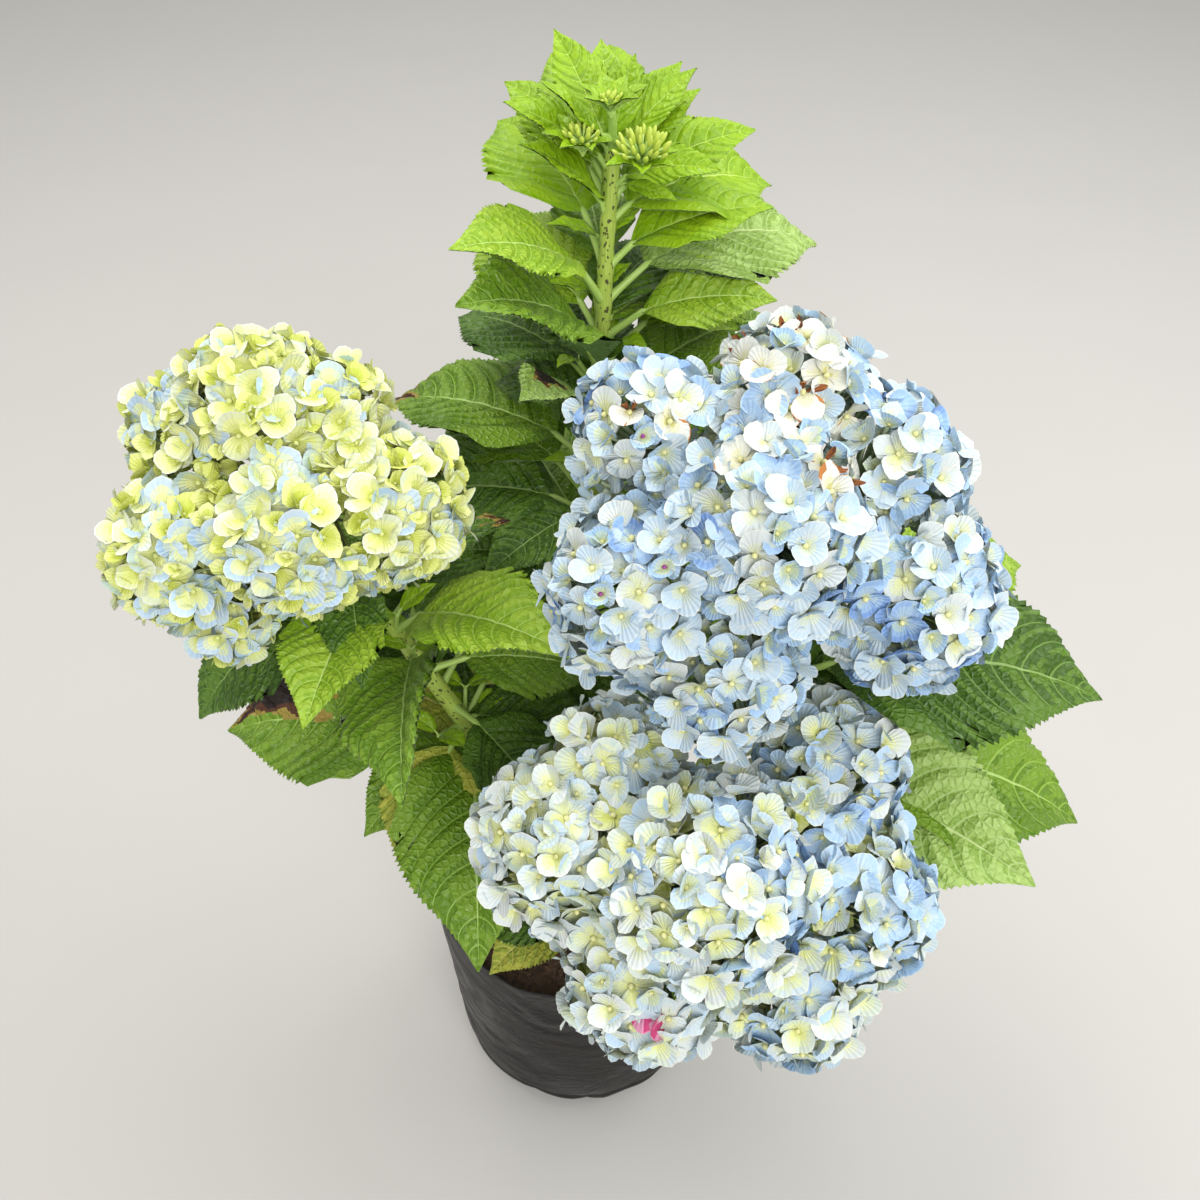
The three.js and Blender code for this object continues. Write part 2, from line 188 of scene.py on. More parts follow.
class Ripple:
    """A smooth seeded unevenness, from -1 to 1, made of waves that cross."""

    def __init__(self, seed: int, axes: int, waves: int = 14, spread: float = 0.6) -> None:
        """Draws the waves.

        Args:
            seed: The seed of the draw.
            axes: How many coordinates the ripple is read at.
            waves: How many waves cross.
            spread: How much the waves differ in length.
        """
        draw = np.random.default_rng(seed)
        length = np.exp(draw.uniform(-spread, spread, waves))
        self.waves = unit(draw.normal(size=(waves, axes))) * (FULL_TURN * length)[:, None]
        self.starts = draw.uniform(0, FULL_TURN, waves)

    def __call__(self, *coordinates: Array) -> Array:
        """Reads the ripple.

        Args:
            coordinates: One array for each axis, in wavelengths.

        Returns:
            The unevenness at each place.
        """
        places = stacked(*coordinates)
        return np.sin(places @ self.waves.T + self.starts).mean(axis=-1) * 2.2


def limb_relief(
    seed: int, depth: float, angles: Array, share: Array, around: float, along: float
) -> Array:
    """Unevenness round a limb.

    Args:
        seed: The seed of its ripple.
        depth: How deep it is, as a share of the radius.
        angles: The angles round the limb.
        share: Places along the limb.
        around: Wavelengths in a radius.
        along: Wavelengths in the limb's length.

    Returns:
        An addition to the radius factor for each place and angle.
    """
    places = (np.cos(angles)[None] * around, np.sin(angles)[None] * around, share[:, None] * along)
    return depth * Ripple(seed, 3)(*places)


# Materials.


def paint(colour: int) -> tuple[float, float, float, float]:
    """Turns a 0xRRGGBB screen colour into the linear colour that a shader takes.

    Args:
        colour: The screen colour.

    Returns:
        Linear red, green, blue and 1.
    """
    parts = [((colour >> shift) & 255) / 255 for shift in CHANNELS]
    linear = [p / 12.92 if p <= 0.04045 else ((p + 0.055) / 1.055) ** 2.4 for p in parts]
    return (linear[0], linear[1], linear[2], 1.0)


class NodeBoard:
    """A new material's nodes, with short ways to add to them."""

    def __init__(self, name: str) -> None:
        """Starts the material with its Principled shader.

        Args:
            name: The material's name.
        """
        self.material = bpy.data.materials.new(name)
        self.material.use_nodes = True
        self.tree = self.material.node_tree
        self.shader = self.tree.nodes["Principled BSDF"]

    def add(
        self, kind: str, inputs: dict[str | int, object] | None = None, **settings: object
    ) -> bpy.types.Node:
        """Adds a node.

        Args:
            kind: The node's type, without its ShaderNode prefix.
            inputs: Values or sockets for its inputs, by name or number.
            settings: The node's own settings.

        Returns:
            The node.
        """
        node = self.tree.nodes.new("ShaderNode" + kind)
        for name, value in settings.items():
            setattr(node, name, value)
        for name, value in (inputs or {}).items():
            self.put(node.inputs[name], value)
        return node

    def put(self, socket: NodeSocket, value: object) -> None:
        """Links a socket into another, or sets its value.

        Args:
            socket: The socket that takes it.
            value: A socket or a plain value.
        """
        if isinstance(value, NodeSocket):
            self.tree.links.new(value, socket)
        else:
            socket.default_value = value

    def dress(self, inputs: dict[str, object]) -> None:
        """Sets or links several of the shader's inputs."""
        for name, value in inputs.items():
            self.put(self.shader.inputs[name], value)

    def span(
        self, value: NodeSocket, low: float, high: float, start: float = 0.0, end: float = 1.0
    ) -> NodeSocket:
        """Maps a number from one span to another.

        Args:
            value: The number.
            low: The result at the start.
            high: The result at the end.
            start: The start of the number's span.
            end: The end of the number's span.

        Returns:
            The mapped number.
        """
        node = self.add(
            "MapRange",
            {"Value": value, "From Min": start, "From Max": end, "To Min": low, "To Max": high},
        )
        return node.outputs["Result"]

    def blend(self, share: NodeSocket, first: object, second: object) -> NodeSocket:
        """Mixes two colours.

        Args:
            share: How much of the second colour.
            first: The first colour or socket.
            second: The second colour or socket.

        Returns:
            The mixed colour.
        """
        node = self.tree.nodes.new("ShaderNodeMix")
        node.data_type = "RGBA"
        self.put(node.inputs[0], share)
        self.put(node.inputs[6], first)
        self.put(node.inputs[7], second)
        return node.outputs[2]

    def bump(
        self,
        height: NodeSocket,
        depth: float,
        strength: float = 1.0,
        under: NodeSocket | None = None,
    ) -> NodeSocket:
        """Turns a height into a bumped normal.

        Args:
            height: The height, from 0 to 1.
            depth: Its depth in metres.
            strength: How strongly it shows.
            under: A bumped normal that this one lies on.

        Returns:
            The normal.
        """
        node = self.add("Bump", {"Height": height, "Distance": depth, "Strength": strength})
        if under is not None:
            self.put(node.inputs["Normal"], under)
        return node.outputs["Normal"]

    def noise(
        self,
        where: NodeSocket,
        scale: float,
        detail: float = 4.0,
        roughness: float = 0.55,
        warp: float = 0.0,
    ) -> NodeSocket:
        """A noise from 0 to 1.

        Args:
            where: The coordinates.
            scale: Its scale.
            detail: How many finer layers it has.
            roughness: How strong the finer layers are.
            warp: How far it is distorted.

        Returns:
            The noise.
        """
        inputs = {
            "Vector": where,
            "Scale": scale,
            "Detail": detail,
            "Roughness": roughness,
            "Distortion": warp,
        }
        return self.add("TexNoise", inputs).outputs[0]

    def net(self, where: NodeSocket, scale: float, randomness: float = 1.0) -> NodeSocket:
        """The distance to the nearest thread of a flat net."""
        inputs = {"Vector": where, "Scale": scale, "Randomness": randomness}
        return self.add(
            "TexVoronoi", inputs, voronoi_dimensions="2D", feature="DISTANCE_TO_EDGE"
        ).outputs["Distance"]

    def reckon(self, operation: str, first: NodeSocket, second: NodeSocket) -> NodeSocket:
        """The result of one operation on two numbers."""
        return self.add("Math", {0: first, 1: second}, operation=operation).outputs[0]

    def stretched(self, where: NodeSocket, scale: Point) -> NodeSocket:
        """Coordinates scaled by a factor for each axis."""
        return self.add("Mapping", {"Vector": where, "Scale": scale}).outputs[0]


@dataclass(frozen=True)
class Finish:
    """The base of every finish: a name, and the material that it makes."""

    name: str

    def build(self) -> Material:
        """Makes the material."""
        raise NotImplementedError


@dataclass(frozen=True)
class LeafFinish(Finish):
    """One plain green of a leaf, with netted veins between its side veins and an uneven gloss."""

    colour: int
    gloss: float = 0.42
    relief: float = 1.0

    def build(self) -> Material:
        """Makes the leaf material.

        Returns:
            A material with a plain base colour and netted relief in its normal and roughness.
        """
        board = NodeBoard(self.name)
        where = board.add("UVMap").outputs[0]
        net, fine = board.net(where, 0.25, 0.85), board.net(where, 0.75)
        soft = {"Vector": where, "Scale": 0.12, "Detail": 2.0}
        grain = board.add("TexNoise", soft, noise_dimensions="2D").outputs[0]
        normal = board.bump(board.span(net, 0.0, 1.0, 0.0, 0.26), 0.00062 * self.relief, 0.85)
        normal = board.bump(
            board.span(fine, 0.0, 1.0, 0.0, 0.3), 0.00012 * self.relief, 0.6, normal
        )
        board.dress(
            {
                "Base Color": paint(self.colour),
                "Roughness": board.span(grain, self.gloss - 0.08, self.gloss + 0.16, 0.3, 0.7),
                "Normal": normal,
                "Specular IOR Level": 0.34,
            }
        )
        return board.material


@dataclass(frozen=True)
class SepalFinish(Finish):
    """One plain tint of a sepal, with fine veins that fan out from its claw."""

    colour: int
    gloss: float = 0.55

    def build(self) -> Material:
        """Makes the sepal material.

        Returns:
            A material with a plain base colour and fanned veins in its normal and roughness.
        """
        board = NodeBoard(self.name)
        where = board.add("UVMap").outputs[0]
        waves = {
            "Vector": where, "Scale": 0.5, "Distortion": 1.4, "Detail": 1.0, "Detail Scale": 1.2
        }
        veins = board.add("TexWave", waves, bands_direction="X").outputs["Fac"]
        board.dress(
            {
                "Base Color": paint(self.colour),
                "Roughness": board.span(veins, self.gloss, self.gloss + 0.15),
                "Normal": board.bump(veins, 0.00026, 0.85),
            }
        )
        return board.material


@dataclass(frozen=True)
class StemFinish(Finish):
    """A smooth green stem with dark corky specks, paler and darker along its length."""

    colour: int
    shade: int
    speck: int
    speck_share: float = 0.3

    def build(self) -> Material:
        """Makes the stem material.

        Returns:
            A material with specks, streaks and a satin surface.
        """
        board = NodeBoard(self.name)
        where = board.add("UVMap").outputs[0]
        streaks = board.noise(board.stretched(where, (0.9, 0.06, 1.0)), 1.0, 4.0)
        long_cells = {"Vector": board.stretched(where, (0.5, 0.26, 1.0)), "Scale": 1.0}
        cells = board.add("TexVoronoi", long_cells, feature="F1")
        size = board.noise(where, 0.3, 2.0)
        reach = board.span(size, 0.0, self.speck_share, 0.4, 0.6)
        near = board.reckon("SUBTRACT", reach, cells.outputs["Distance"])
        specks = board.span(near, 0.0, 0.9, 0.0, 0.06)
        shaded = board.span(streaks, 0.0, 1.0, 0.35, 0.65)
        green = board.blend(shaded, paint(self.colour), paint(self.shade))
        normal = board.bump(streaks, 0.0005, 0.5)
        normal = board.bump(specks, 0.0004, 0.8, normal)
        board.dress(
            {
                "Base Color": board.blend(specks, green, paint(self.speck)),
                "Roughness": board.span(specks, 0.42, 0.75),
                "Normal": normal,
            }
        )
        return board.material


@dataclass(frozen=True)
class BarkFinish(Finish):
    """Thin flaking bark: pale strips over brown, with dark cracks along the stem."""

    pale: int
    brown: int
    crack: int

    def build(self) -> Material:
        """Makes the bark material.

        Returns:
            A material whose streaks run along the stem.
        """
        board = NodeBoard(self.name)
        where = board.add("UVMap").outputs[0]
        strips = board.noise(board.stretched(where, (0.5, 0.05, 1.0)), 1.0, 6.0, 0.65)
        cracks = board.noise(board.stretched(where, (1.3, 0.09, 1.0)), 1.0, 5.0, 0.7)
        blotch = board.noise(where, 0.08, 3.0)
        peeled = board.span(strips, 0.0, 1.0, 0.36, 0.62)
        brown = board.blend(peeled, paint(self.brown), paint(self.pale))
        worn = board.blend(board.span(blotch, 0.0, 0.6, 0.45, 0.7), brown, paint(self.pale))
        cracked = board.span(cracks, 0.85, 0.0, 0.3, 0.46)
        normal = board.bump(strips, 0.0012, 0.8)
        normal = board.bump(cracks, 0.0008, 0.9, normal)
        board.dress(
            {
                "Base Color": board.blend(cracked, worn, paint(self.crack)),
                "Roughness": board.span(strips, 0.6, 0.92),
                "Normal": normal,
            }
        )
        return board.material


@dataclass(frozen=True)
class FilmFinish(Finish):
    """Black polythene film, dulled by brown-grey dust that lies along its creases."""

    film: int
    dust: int
    smear: int

    def build(self) -> Material:
        """Makes the film material.

        Returns:
            A satin material with dust streaks and fine creases.
        """
        board = NodeBoard(self.name)
        where = board.add("TexCoord").outputs["Object"]
        drift = board.noise(where, 9.0, 5.0, 0.62)
        drag = board.noise(board.stretched(where, (7.0, 7.0, 10.0)), 1.0, 6.0, 0.7, 1.7)
        flecks = board.noise(where, 380.0, 3.0, 0.7)
        creases = board.noise(board.stretched(where, (13.0, 13.0, 22.0)), 1.0, 5.0, 0.6, 3.0)
        low = board.add("SeparateXYZ", {0: where}).outputs[2]
        settled = board.span(low, 1.0, 0.35, 0.02, 0.16)
        patches = board.reckon("MULTIPLY", board.span(drift, 0.0, 1.0, 0.42, 0.62), settled)
        dusted = board.reckon("MULTIPLY", patches, board.span(drag, 0.1, 1.0, 0.38, 0.62))
        base = board.blend(dusted, paint(self.film), paint(self.dust))
        streaked = board.blend(board.span(drag, 0.0, 0.55, 0.58, 0.74), base, paint(self.smear))
        speckled = board.blend(board.span(flecks, 0.0, 0.4, 0.68, 0.8), streaked, paint(self.smear))
        normal = board.bump(creases, 0.004, 0.7)
        normal = board.bump(flecks, 0.0001, 0.3, normal)
        board.dress(
            {
                "Base Color": speckled,
                "Roughness": board.span(drag, 0.26, 0.6, 0.32, 0.68),
                "Specular IOR Level": 0.26,
                "Normal": normal,
            }
        )
        return board.material


@dataclass(frozen=True)
class SoilFinish(Finish):
    """Moist brown potting mix, from dark crumbs to pale fibres."""

    dark: int
    brown: int
    fibre: int

    def build(self) -> Material:
        """Makes the soil material.

        Returns:
            A rough material with crumbs in its colour and normal.
        """
        board = NodeBoard(self.name)
        where = board.add("TexCoord").outputs["Object"]
        crumbs = board.noise(where, 260.0, 6.0, 0.7)
        patches = board.noise(where, 36.0, 4.0)
        threads = {"Vector": board.stretched(where, (240.0, 620.0, 300.0)), "Scale": 1.0}
        fibres = board.add("TexVoronoi", threads).outputs["Distance"]
        browner = board.span(crumbs, 0.0, 1.0, 0.35, 0.66)
        mixed = board.blend(browner, paint(self.dark), paint(self.brown))
        strewn = board.span(fibres, 0.4, 0.0, 0.05, 0.22)
        board.dress(
            {
                "Base Color": board.blend(strewn, mixed, paint(self.fibre)),
                "Roughness": board.span(patches, 0.78, 0.97),
                "Normal": board.bump(crumbs, 0.002, 0.9),
            }
        )
        return board.material


@dataclass(frozen=True)
class FloorFinish(Finish):
    """The studio's plain pale floor."""

    colour: int

    def build(self) -> Material:
        """Makes the floor material.

        Returns:
            A pale matt material with the faintest unevenness.
        """
        board = NodeBoard(self.name)
        where = board.add("TexCoord").outputs["Object"]
        grain = board.noise(where, 5.0, 4.0)
        near = paint(self.colour)
        far = tuple(min(1.0, part * 1.04) for part in near[:3]) + (1.0,)
        board.dress({"Base Color": board.blend(grain, near, far), "Roughness": 0.9})
        return board.material


MADE: dict[Finish, Material] = {}


def material_of(finish: Finish) -> Material:
    """The one material of a finish, made when it is first asked for.

    Args:
        finish: The finish.

    Returns:
        Its material.
    """
    if finish not in MADE:
        MADE[finish] = finish.build()
    return MADE[finish]


# Gathering meshes into pieces.


class Pile:
    """Like surfaces, gathered as arrays of points and four-sided faces, that become one piece."""

    def __init__(self) -> None:
        """Starts empty."""
        self.points: list[Array] = []
        self.faces: list[Array] = []
        self.slots: list[Array] = []
        self.flats: list[Array] = []
        self.finishes: list[Finish] = []
        self.count = 0

    def slot_of(self, finish: Finish) -> int:
        """Finds a finish's material slot, or adds one.

        Args:
            finish: The finish.

        Returns:
            The number of its slot in this pile.
        """
        if finish not in self.finishes:
            self.finishes.append(finish)
        return self.finishes.index(finish)

    def add(self, points: Array, faces: Array, slots: Array, flat: Array | None = None) -> int:
        """Adds a surface.

        Args:
            points: Its points, in millimetres.
            faces: Four point numbers for each face.
            slots: A material slot for each face.
            flat: Two flat coordinates for each point, in millimetres.

        Returns:
            The number of its first point in the pile.
        """
        start = self.count
        self.points.append(points.reshape(-1, 3))
        self.faces.append(faces.reshape(-1, 4) + start)
        self.slots.append(np.broadcast_to(slots, (len(self.faces[-1]),)))
        total = len(self.points[-1])
        self.flats.append(np.zeros((total, 2)) if flat is None else flat.reshape(-1, 2))
        self.count += total
        return start

    def grid(
        self,
        points: Array,
        slots: Array | int,
        flat: Array | None = None,
        closed: bool = False,
        turned: bool = False,
    ) -> int:
        """Adds a grid of rows and columns.

        Args:
            points: Points as rows by columns by three.
            slots: One slot, or one for each face.
            flat: Flat coordinates as rows by columns by two.
            closed: True if the last column joins the first.
            turned: True to face the other way.

        Returns:
            The number of its first point in the pile.
        """
        faces = grid_faces(points.shape[0], points.shape[1], closed)
        if turned:
            faces = faces[:, ::-1]
        return self.add(points, faces, np.asarray(slots).reshape(-1), flat)

    def piece(self, name: str, nodes: tuple[str, ...], slot: str) -> Object:
        """Joins everything gathered as one smooth piece that rides on the plant.

        Args:
            name: The piece's name.
            nodes: The CAD nodes that it stands for.
            slot: Not used.

        Returns:
            The piece.
        """
        mesh = bpy.data.meshes.new(name)
        mesh.from_pydata(
            (np.concatenate(self.points) * MM).tolist(), [], np.concatenate(self.faces).tolist()
        )
        used, slots = np.unique(np.concatenate(self.slots), return_inverse=True)
        mesh.polygons.foreach_set("material_index", slots.astype(np.int32).ravel())
        mesh.polygons.foreach_set("use_smooth", np.ones(len(mesh.polygons), bool))
        corners = np.zeros(len(mesh.loops), np.int32)
        mesh.loops.foreach_get("vertex_index", corners)
        flats = np.concatenate(self.flats)[corners]
        mesh.uv_layers.new(name="flat").data.foreach_set("uv", flats.astype(np.float32).ravel())
        for number in used:
            mesh.materials.append(material_of(self.finishes[number]))
        mesh.update()
        piece = bpy.data.objects.new(name, mesh)
        bpy.context.scene.collection.objects.link(piece)
        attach(piece, BODY)
        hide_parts(*nodes)
        LOG.info(
            "%s: %d faces, %d finishes, stands for %s",
            name,
            len(mesh.polygons),
            len(used),
            ", ".join(nodes),
        )
        return piece


def grid_faces(rows: int, columns: int, closed: bool) -> Array:
    """The faces of a grid of points.

    Args:
        rows: How many rows of points.
        columns: How many points in a row.
        closed: True if the last column joins the first.

    Returns:
        Four point numbers for each face, row by row.
    """
    numbers = np.arange(rows * columns).reshape(rows, columns)
    right = np.roll(numbers, -1, axis=1)
    if not closed:
        numbers, right = numbers[:, :-1], right[:, :-1]
    return np.stack([numbers[:-1], right[:-1], right[1:], numbers[1:]], axis=-1).reshape(-1, 4)


def carried_frames(path: Array) -> tuple[Array, Array]:
    """Directions square to a path that turn as little as they can.

    Args:
        path: The path's points.

    Returns:
        Two unit directions for each point.
    """
    headings = unit(np.gradient(path, axis=0))
    helper = [0.31, 0.95, 0.05] if abs(headings[0][1]) < 0.9 else [1.0, 0.1, 0.0]
    side = unit(np.cross(headings[0], helper))
    sides = []
    for heading in headings:
        side = unit(side - heading * (side @ heading))
        sides.append(side)
    first = np.array(sides)
    return first, np.cross(headings, first)


def tube(
    pile: Pile, path: Array, radii: Array, sides: int, finish: Finish, relief: Array | None = None
) -> None:
    """Adds a round limb with drawn-in ends to a pile.

    Args:
        pile: Where it goes.
        path: The points down its middle.
        radii: Its radius at each point.
        sides: How many sides it has.
        finish: Its finish.
        relief: A factor on the radius for each point and side.
    """
    first, second = carried_frames(path)
    angles = turns(sides)
    rounds = radii[:, None] * (np.ones((len(path), sides)) if relief is None else relief)
    cosines, sines = np.cos(angles)[None, :, None], np.sin(angles)[None, :, None]
    ring = first[:, None, :] * cosines + second[:, None, :] * sines
    points = path[:, None, :] + ring * rounds[..., None]
    middle = path[[0, -1]]
    caps = middle[:, None, :] + (points[[0, -1]] - middle[:, None, :]) * 0.02
    points = np.concatenate([caps[:1], points, caps[1:]])
    reach = np.concatenate([[0], np.cumsum(np.linalg.norm(np.diff(path, axis=0), axis=1))])
    along = np.concatenate([reach[:1], reach, reach[-1:]])
    flat = stacked(angles[None, :] * float(radii.mean()), along[:, None])
    pile.grid(points, pile.slot_of(finish), flat, closed=True, turned=True)


def blob(
    pile: Pile,
    centre: Array,
    axis: Array,
    wide: float,
    tall: float,
    finish: Finish,
    rows: int = 5,
    sides: int = 6,
) -> None:
    """Adds a small egg-shaped body to a pile.

    Args:
        pile: Where it goes.
        centre: Its middle.
        axis: The direction that it is long in.
        wide: Its radius across.
        tall: Its radius along the axis.
        finish: Its finish.
        rows: How many rows of points it has.
        sides: How many points in a row.
    """
    across, forward, over = frame_along(axis)
    lean = np.linspace(0.06, math.pi - 0.06, rows)
    angles = turns(sides)
    ring = across * np.cos(angles)[:, None] + over * np.sin(angles)[:, None]
    points = (
        centre
        + ring[None] * (wide * np.sin(lean))[:, None, None]
        - forward[None, None] * (tall * np.cos(lean))[:, None, None]
    )
    flat = stacked(angles[None] * wide, (lean * tall)[:, None])
    pile.grid(points, pile.slot_of(finish), flat, closed=True, turned=True)


# The grow bag and its soil.


@dataclass
class GrowBag:
    """The bag: a wrinkled film shell with a drawn-in, pleated foot and a soft rim."""

    # Rows of place, radius and height, from the middle of the foot to the rim.
    outline: tuple[Point, ...] = (
        (0.0, 0.5, 0.0),
        (0.16, 70.0, 0.0),
        (0.2, 80.0, 2.2),
        (0.25, 91.0, 10.0),
        (0.31, 95.0, 25.0),
        (0.4, 97.0, 46.0),
        (0.66, 97.5, 112.0),
        (1.0, 99.0, 216.0),
    )
    flat_share: float = 0.16
    rim_band: float = 26.0
    wall: float = 1.0
    sides: int = 180
    foot_rows: int = 8
    rows: int = 76
    inner_rows: int = 14
    finish: FilmFinish = FilmFinish("bag_film", 0x090706, 0x1E1916, 0x3A322B)

    def profile(self, share: Array) -> tuple[Array, Array]:
        """The bag's plain outline, before it wrinkles.

        Args:
            share: Places from the middle of the foot (0) to the rim (1).

        Returns:
            The radius and height at each place.
        """
        places, radii, heights = np.array(self.outline).T
        rise = np.maximum(smooth_steps(places, heights, share), 0.0)
        return smooth_steps(places, radii, share), rise

    def wrinkle(self, turn: Array, height: Array) -> Array:
        """How far the film stands out of its plain outline.

        Args:
            turn: The angle round the bag, in radians.
            height: The height above the floor.

        Returns:
            The distance outward at each place.
        """
        x, y, z = np.cos(turn), np.sin(turn), height / 100
        sway = Ripple(5, 3)(x * 0.7, y * 0.7, z * 0.8)
        broad = Ripple(11, 3)(x * 0.5, y * 0.5, z * 0.9)
        band = Ripple(23, 3, 22, 0.7)(x * 1.0, y * 1.0, z * 2.6 + sway * 1.6)
        fine = Ripple(31, 3, 22, 0.7)(x * 2.2, y * 2.2, z * 6.0 + sway * 3.0)
        slack = np.clip(0.5 + 1.1 * Ripple(43, 3)(x * 0.7, y * 0.7, z * 1.1), 0.05, 1.5)
        ridged = 1 - 2 * np.abs(band)
        pleat = np.abs(np.sin(turn * 4.5 + sway * 1.4)) ** 0.5 - 0.8
        low = np.clip(1 - height / 34, 0, 1) ** 1.3 * np.clip(height / 5, 0, 1)
        tuck = np.exp(-(((height - 24 - 4 * np.sin(turn * 2 + 1)) / 3.2) ** 2))
        return 2.2 * broad + slack * (1.15 * ridged + 0.6 * fine) + 5.0 * low * pleat - 1.5 * tuck

    def build(self) -> Object:
        """Builds the film shell, down inside it to just below the soil.

        Returns:
            The bag's piece.
        """
        flat, wall = (0, self.flat_share, self.foot_rows), (self.flat_share + 0.008, 1.0, self.rows)
        share = np.concatenate([np.linspace(*flat), np.linspace(*wall)])
        turn = turns(self.sides)
        radius, height = self.profile(share)
        proud = self.wrinkle(turn[None], height[:, None])
        rim_foot = self.outline[-1][2] - self.rim_band
        near_rim = np.clip((height - rim_foot) / self.rim_band, 0, 1)[:, None]
        ease = np.clip((radius - 60) / 20, 0, 1)[:, None]
        rim_wave = 3.0 * Ripple(67, 2)(np.cos(turn) * 0.6, np.sin(turn) * 0.6)[None]
        fold = 1.4 * Ripple(71, 2)(np.cos(turn) * 2.2, np.sin(turn) * 2.2)[None]
        radii = radius[:, None] + ease * proud * (1 - 0.5 * near_rim) + near_rim * fold
        heights = height[:, None] + near_rim**2 * rim_wave
        inner_radii = radii[::-1][: self.inner_rows] - self.wall
        inner_heights = heights[::-1][: self.inner_rows]
        lip = (radii[-1:] - self.wall / 2, heights[-1:] + self.wall * 0.7)
        all_radii = np.concatenate([radii, lip[0], inner_radii])
        all_heights = np.concatenate([heights, lip[1], inner_heights])
        points = stacked(all_radii * np.cos(turn), all_radii * np.sin(turn), all_heights)
        pile = Pile()
        pile.grid(points, pile.slot_of(self.finish), closed=True)
        return pile.piece("bag_shell", ("grow_bag",), "bag_film")


@dataclass
class PottingSoil:
    """The soil in the bag: an uneven bed with crumbs and fibres on it."""

    radius: float = 96.3
    level: float = 199.0
    rings: int = 30
    sides: int = 120
    skirt: float = 8.0
    crumbs: int = 220
    fibres: int = 60
    seed: int = 733
    bed: SoilFinish = SoilFinish("potting_mix", 0x2B1E16, 0x5A4230, 0x8A6B48)
    crumb: SoilFinish = SoilFinish("soil_crumb", 0x33241A, 0x6B4E36, 0x8F7350)

    def rise(self, x: Array, y: Array) -> Array:
        """The height of the bed at a place.

        Args:
            x: The place across.
            y: The place along.

        Returns:
            The height there.
        """
        mound = 3.5 * np.exp(-(x**2 + y**2) / 1900)
        swell = self.level + mound + 2.0 * Ripple(81, 2)(x / 46, y / 46)
        return swell + 0.8 * Ripple(83, 2)(x / 13, y / 13)

    def build(self) -> Object:
        """Builds the bed, its crumbs and its fibres as one piece.

        Returns:
            The soil's piece.
        """
        pile = Pile()
        rings = np.concatenate([[0.4], np.linspace(4, self.radius, self.rings)])
        turn = turns(self.sides)
        x, y = rings[:, None] * np.cos(turn), rings[:, None] * np.sin(turn)
        bed = stacked(x, y, self.rise(x, y))
        skirt = bed[-1:].copy()
        skirt[..., 2] -= self.skirt
        pile.grid(np.concatenate([bed, skirt]), pile.slot_of(self.bed), closed=True)
        draw = np.random.default_rng(self.seed)
        for _ in range(self.crumbs):
            reach, angle = self.radius * 0.97 * math.sqrt(draw.random()), draw.uniform(0, FULL_TURN)
            px, py = reach * math.cos(angle), reach * math.sin(angle)
            size = draw.uniform(0.9, 2.8)
            centre = np.array([px, py, float(self.rise(np.array(px), np.array(py))) + size * 0.3])
            blob(
                pile,
                centre,
                unit(draw.normal(size=3)),
                size,
                size * draw.uniform(0.9, 1.8),
                self.crumb,
                4,
                5,
            )
        for _ in range(self.fibres):
            reach, angle = self.radius * 0.9 * math.sqrt(draw.random()), draw.uniform(0, FULL_TURN)
            start = np.array([reach * math.cos(angle), reach * math.sin(angle)])
            way, length = draw.uniform(0, FULL_TURN), draw.uniform(7, 18)
            steps = np.linspace(0, 1, 5)
            px = start[0] + np.cos(way + steps) * length * steps
            py = start[1] + np.sin(way + steps) * length * steps
            inside = np.hypot(px, py) < self.radius - 2
            if inside.all():
                path = stacked(px, py, self.rise(px, py) + 0.6 + 1.2 * np.sin(steps * math.pi))
                tube(pile, path, np.full(5, 0.35), 4, self.crumb)
        return pile.piece("soil_bed", ("potting_soil",), "soil")


# The shoots and their leaves.


class AgeAndLight(Enum):
    """How old a leaf looks, and its painted light: SHADED is a darker green that paints the shade a
    leaf lies in, and PALE is partly a paler tone of its own and partly a painted whitish sheen.
    """

    CROWN = "crown"
    FRESH = "fresh"
    GROWN = "grown"
    SHADED = "shaded"
    PALE = "pale"
    OLD = "old"


class Blemish(Enum):
    """A mark that a leaf carries."""

    NONE = "none"
    BROWN_TIP = "brown tip"
    SCORCH_LEFT = "scorched along its left edge"
    SCORCH_RIGHT = "scorched along its right edge"
    SPOT = "one brown spot"


def greens(
    age: str, blade: int, light: int, vein: int, rib: int, under: int, gloss: float, relief: float
) -> tuple[LeafFinish, ...]:
    """The finishes of one kind of leaf, by how old it is or by its painted shade or sheen.

    Args:
        age: The kind's name.
        blade: The blade's green, a little darker than its own tone; dealt into the grooves by the
            veins, it is painted shade.
        light: The blade's lighter green, a painted highlight dealt onto the quilt's crests and
            mixed with random mottle.
        vein: The side veins' green.
        rib: The midrib's green.
        under: The underside's green.
        gloss: The blade's roughness.
        relief: How strongly its net of veins stands out.

    Returns:
        The finishes of blade (with the painted shade by the veins), painted-highlight blade, vein,
        rib and underside.
    """
    return (
        LeafFinish(age + "_blade", blade, gloss, relief),
        LeafFinish(age + "_blade_painted_highlight", light, gloss, relief),
        LeafFinish(age + "_vein", vein, gloss + 0.04, 0.2),
        LeafFinish(age + "_rib", rib, gloss + 0.06, 0.1),
        LeafFinish(age + "_underside", under, 0.68, 0.8),
    )
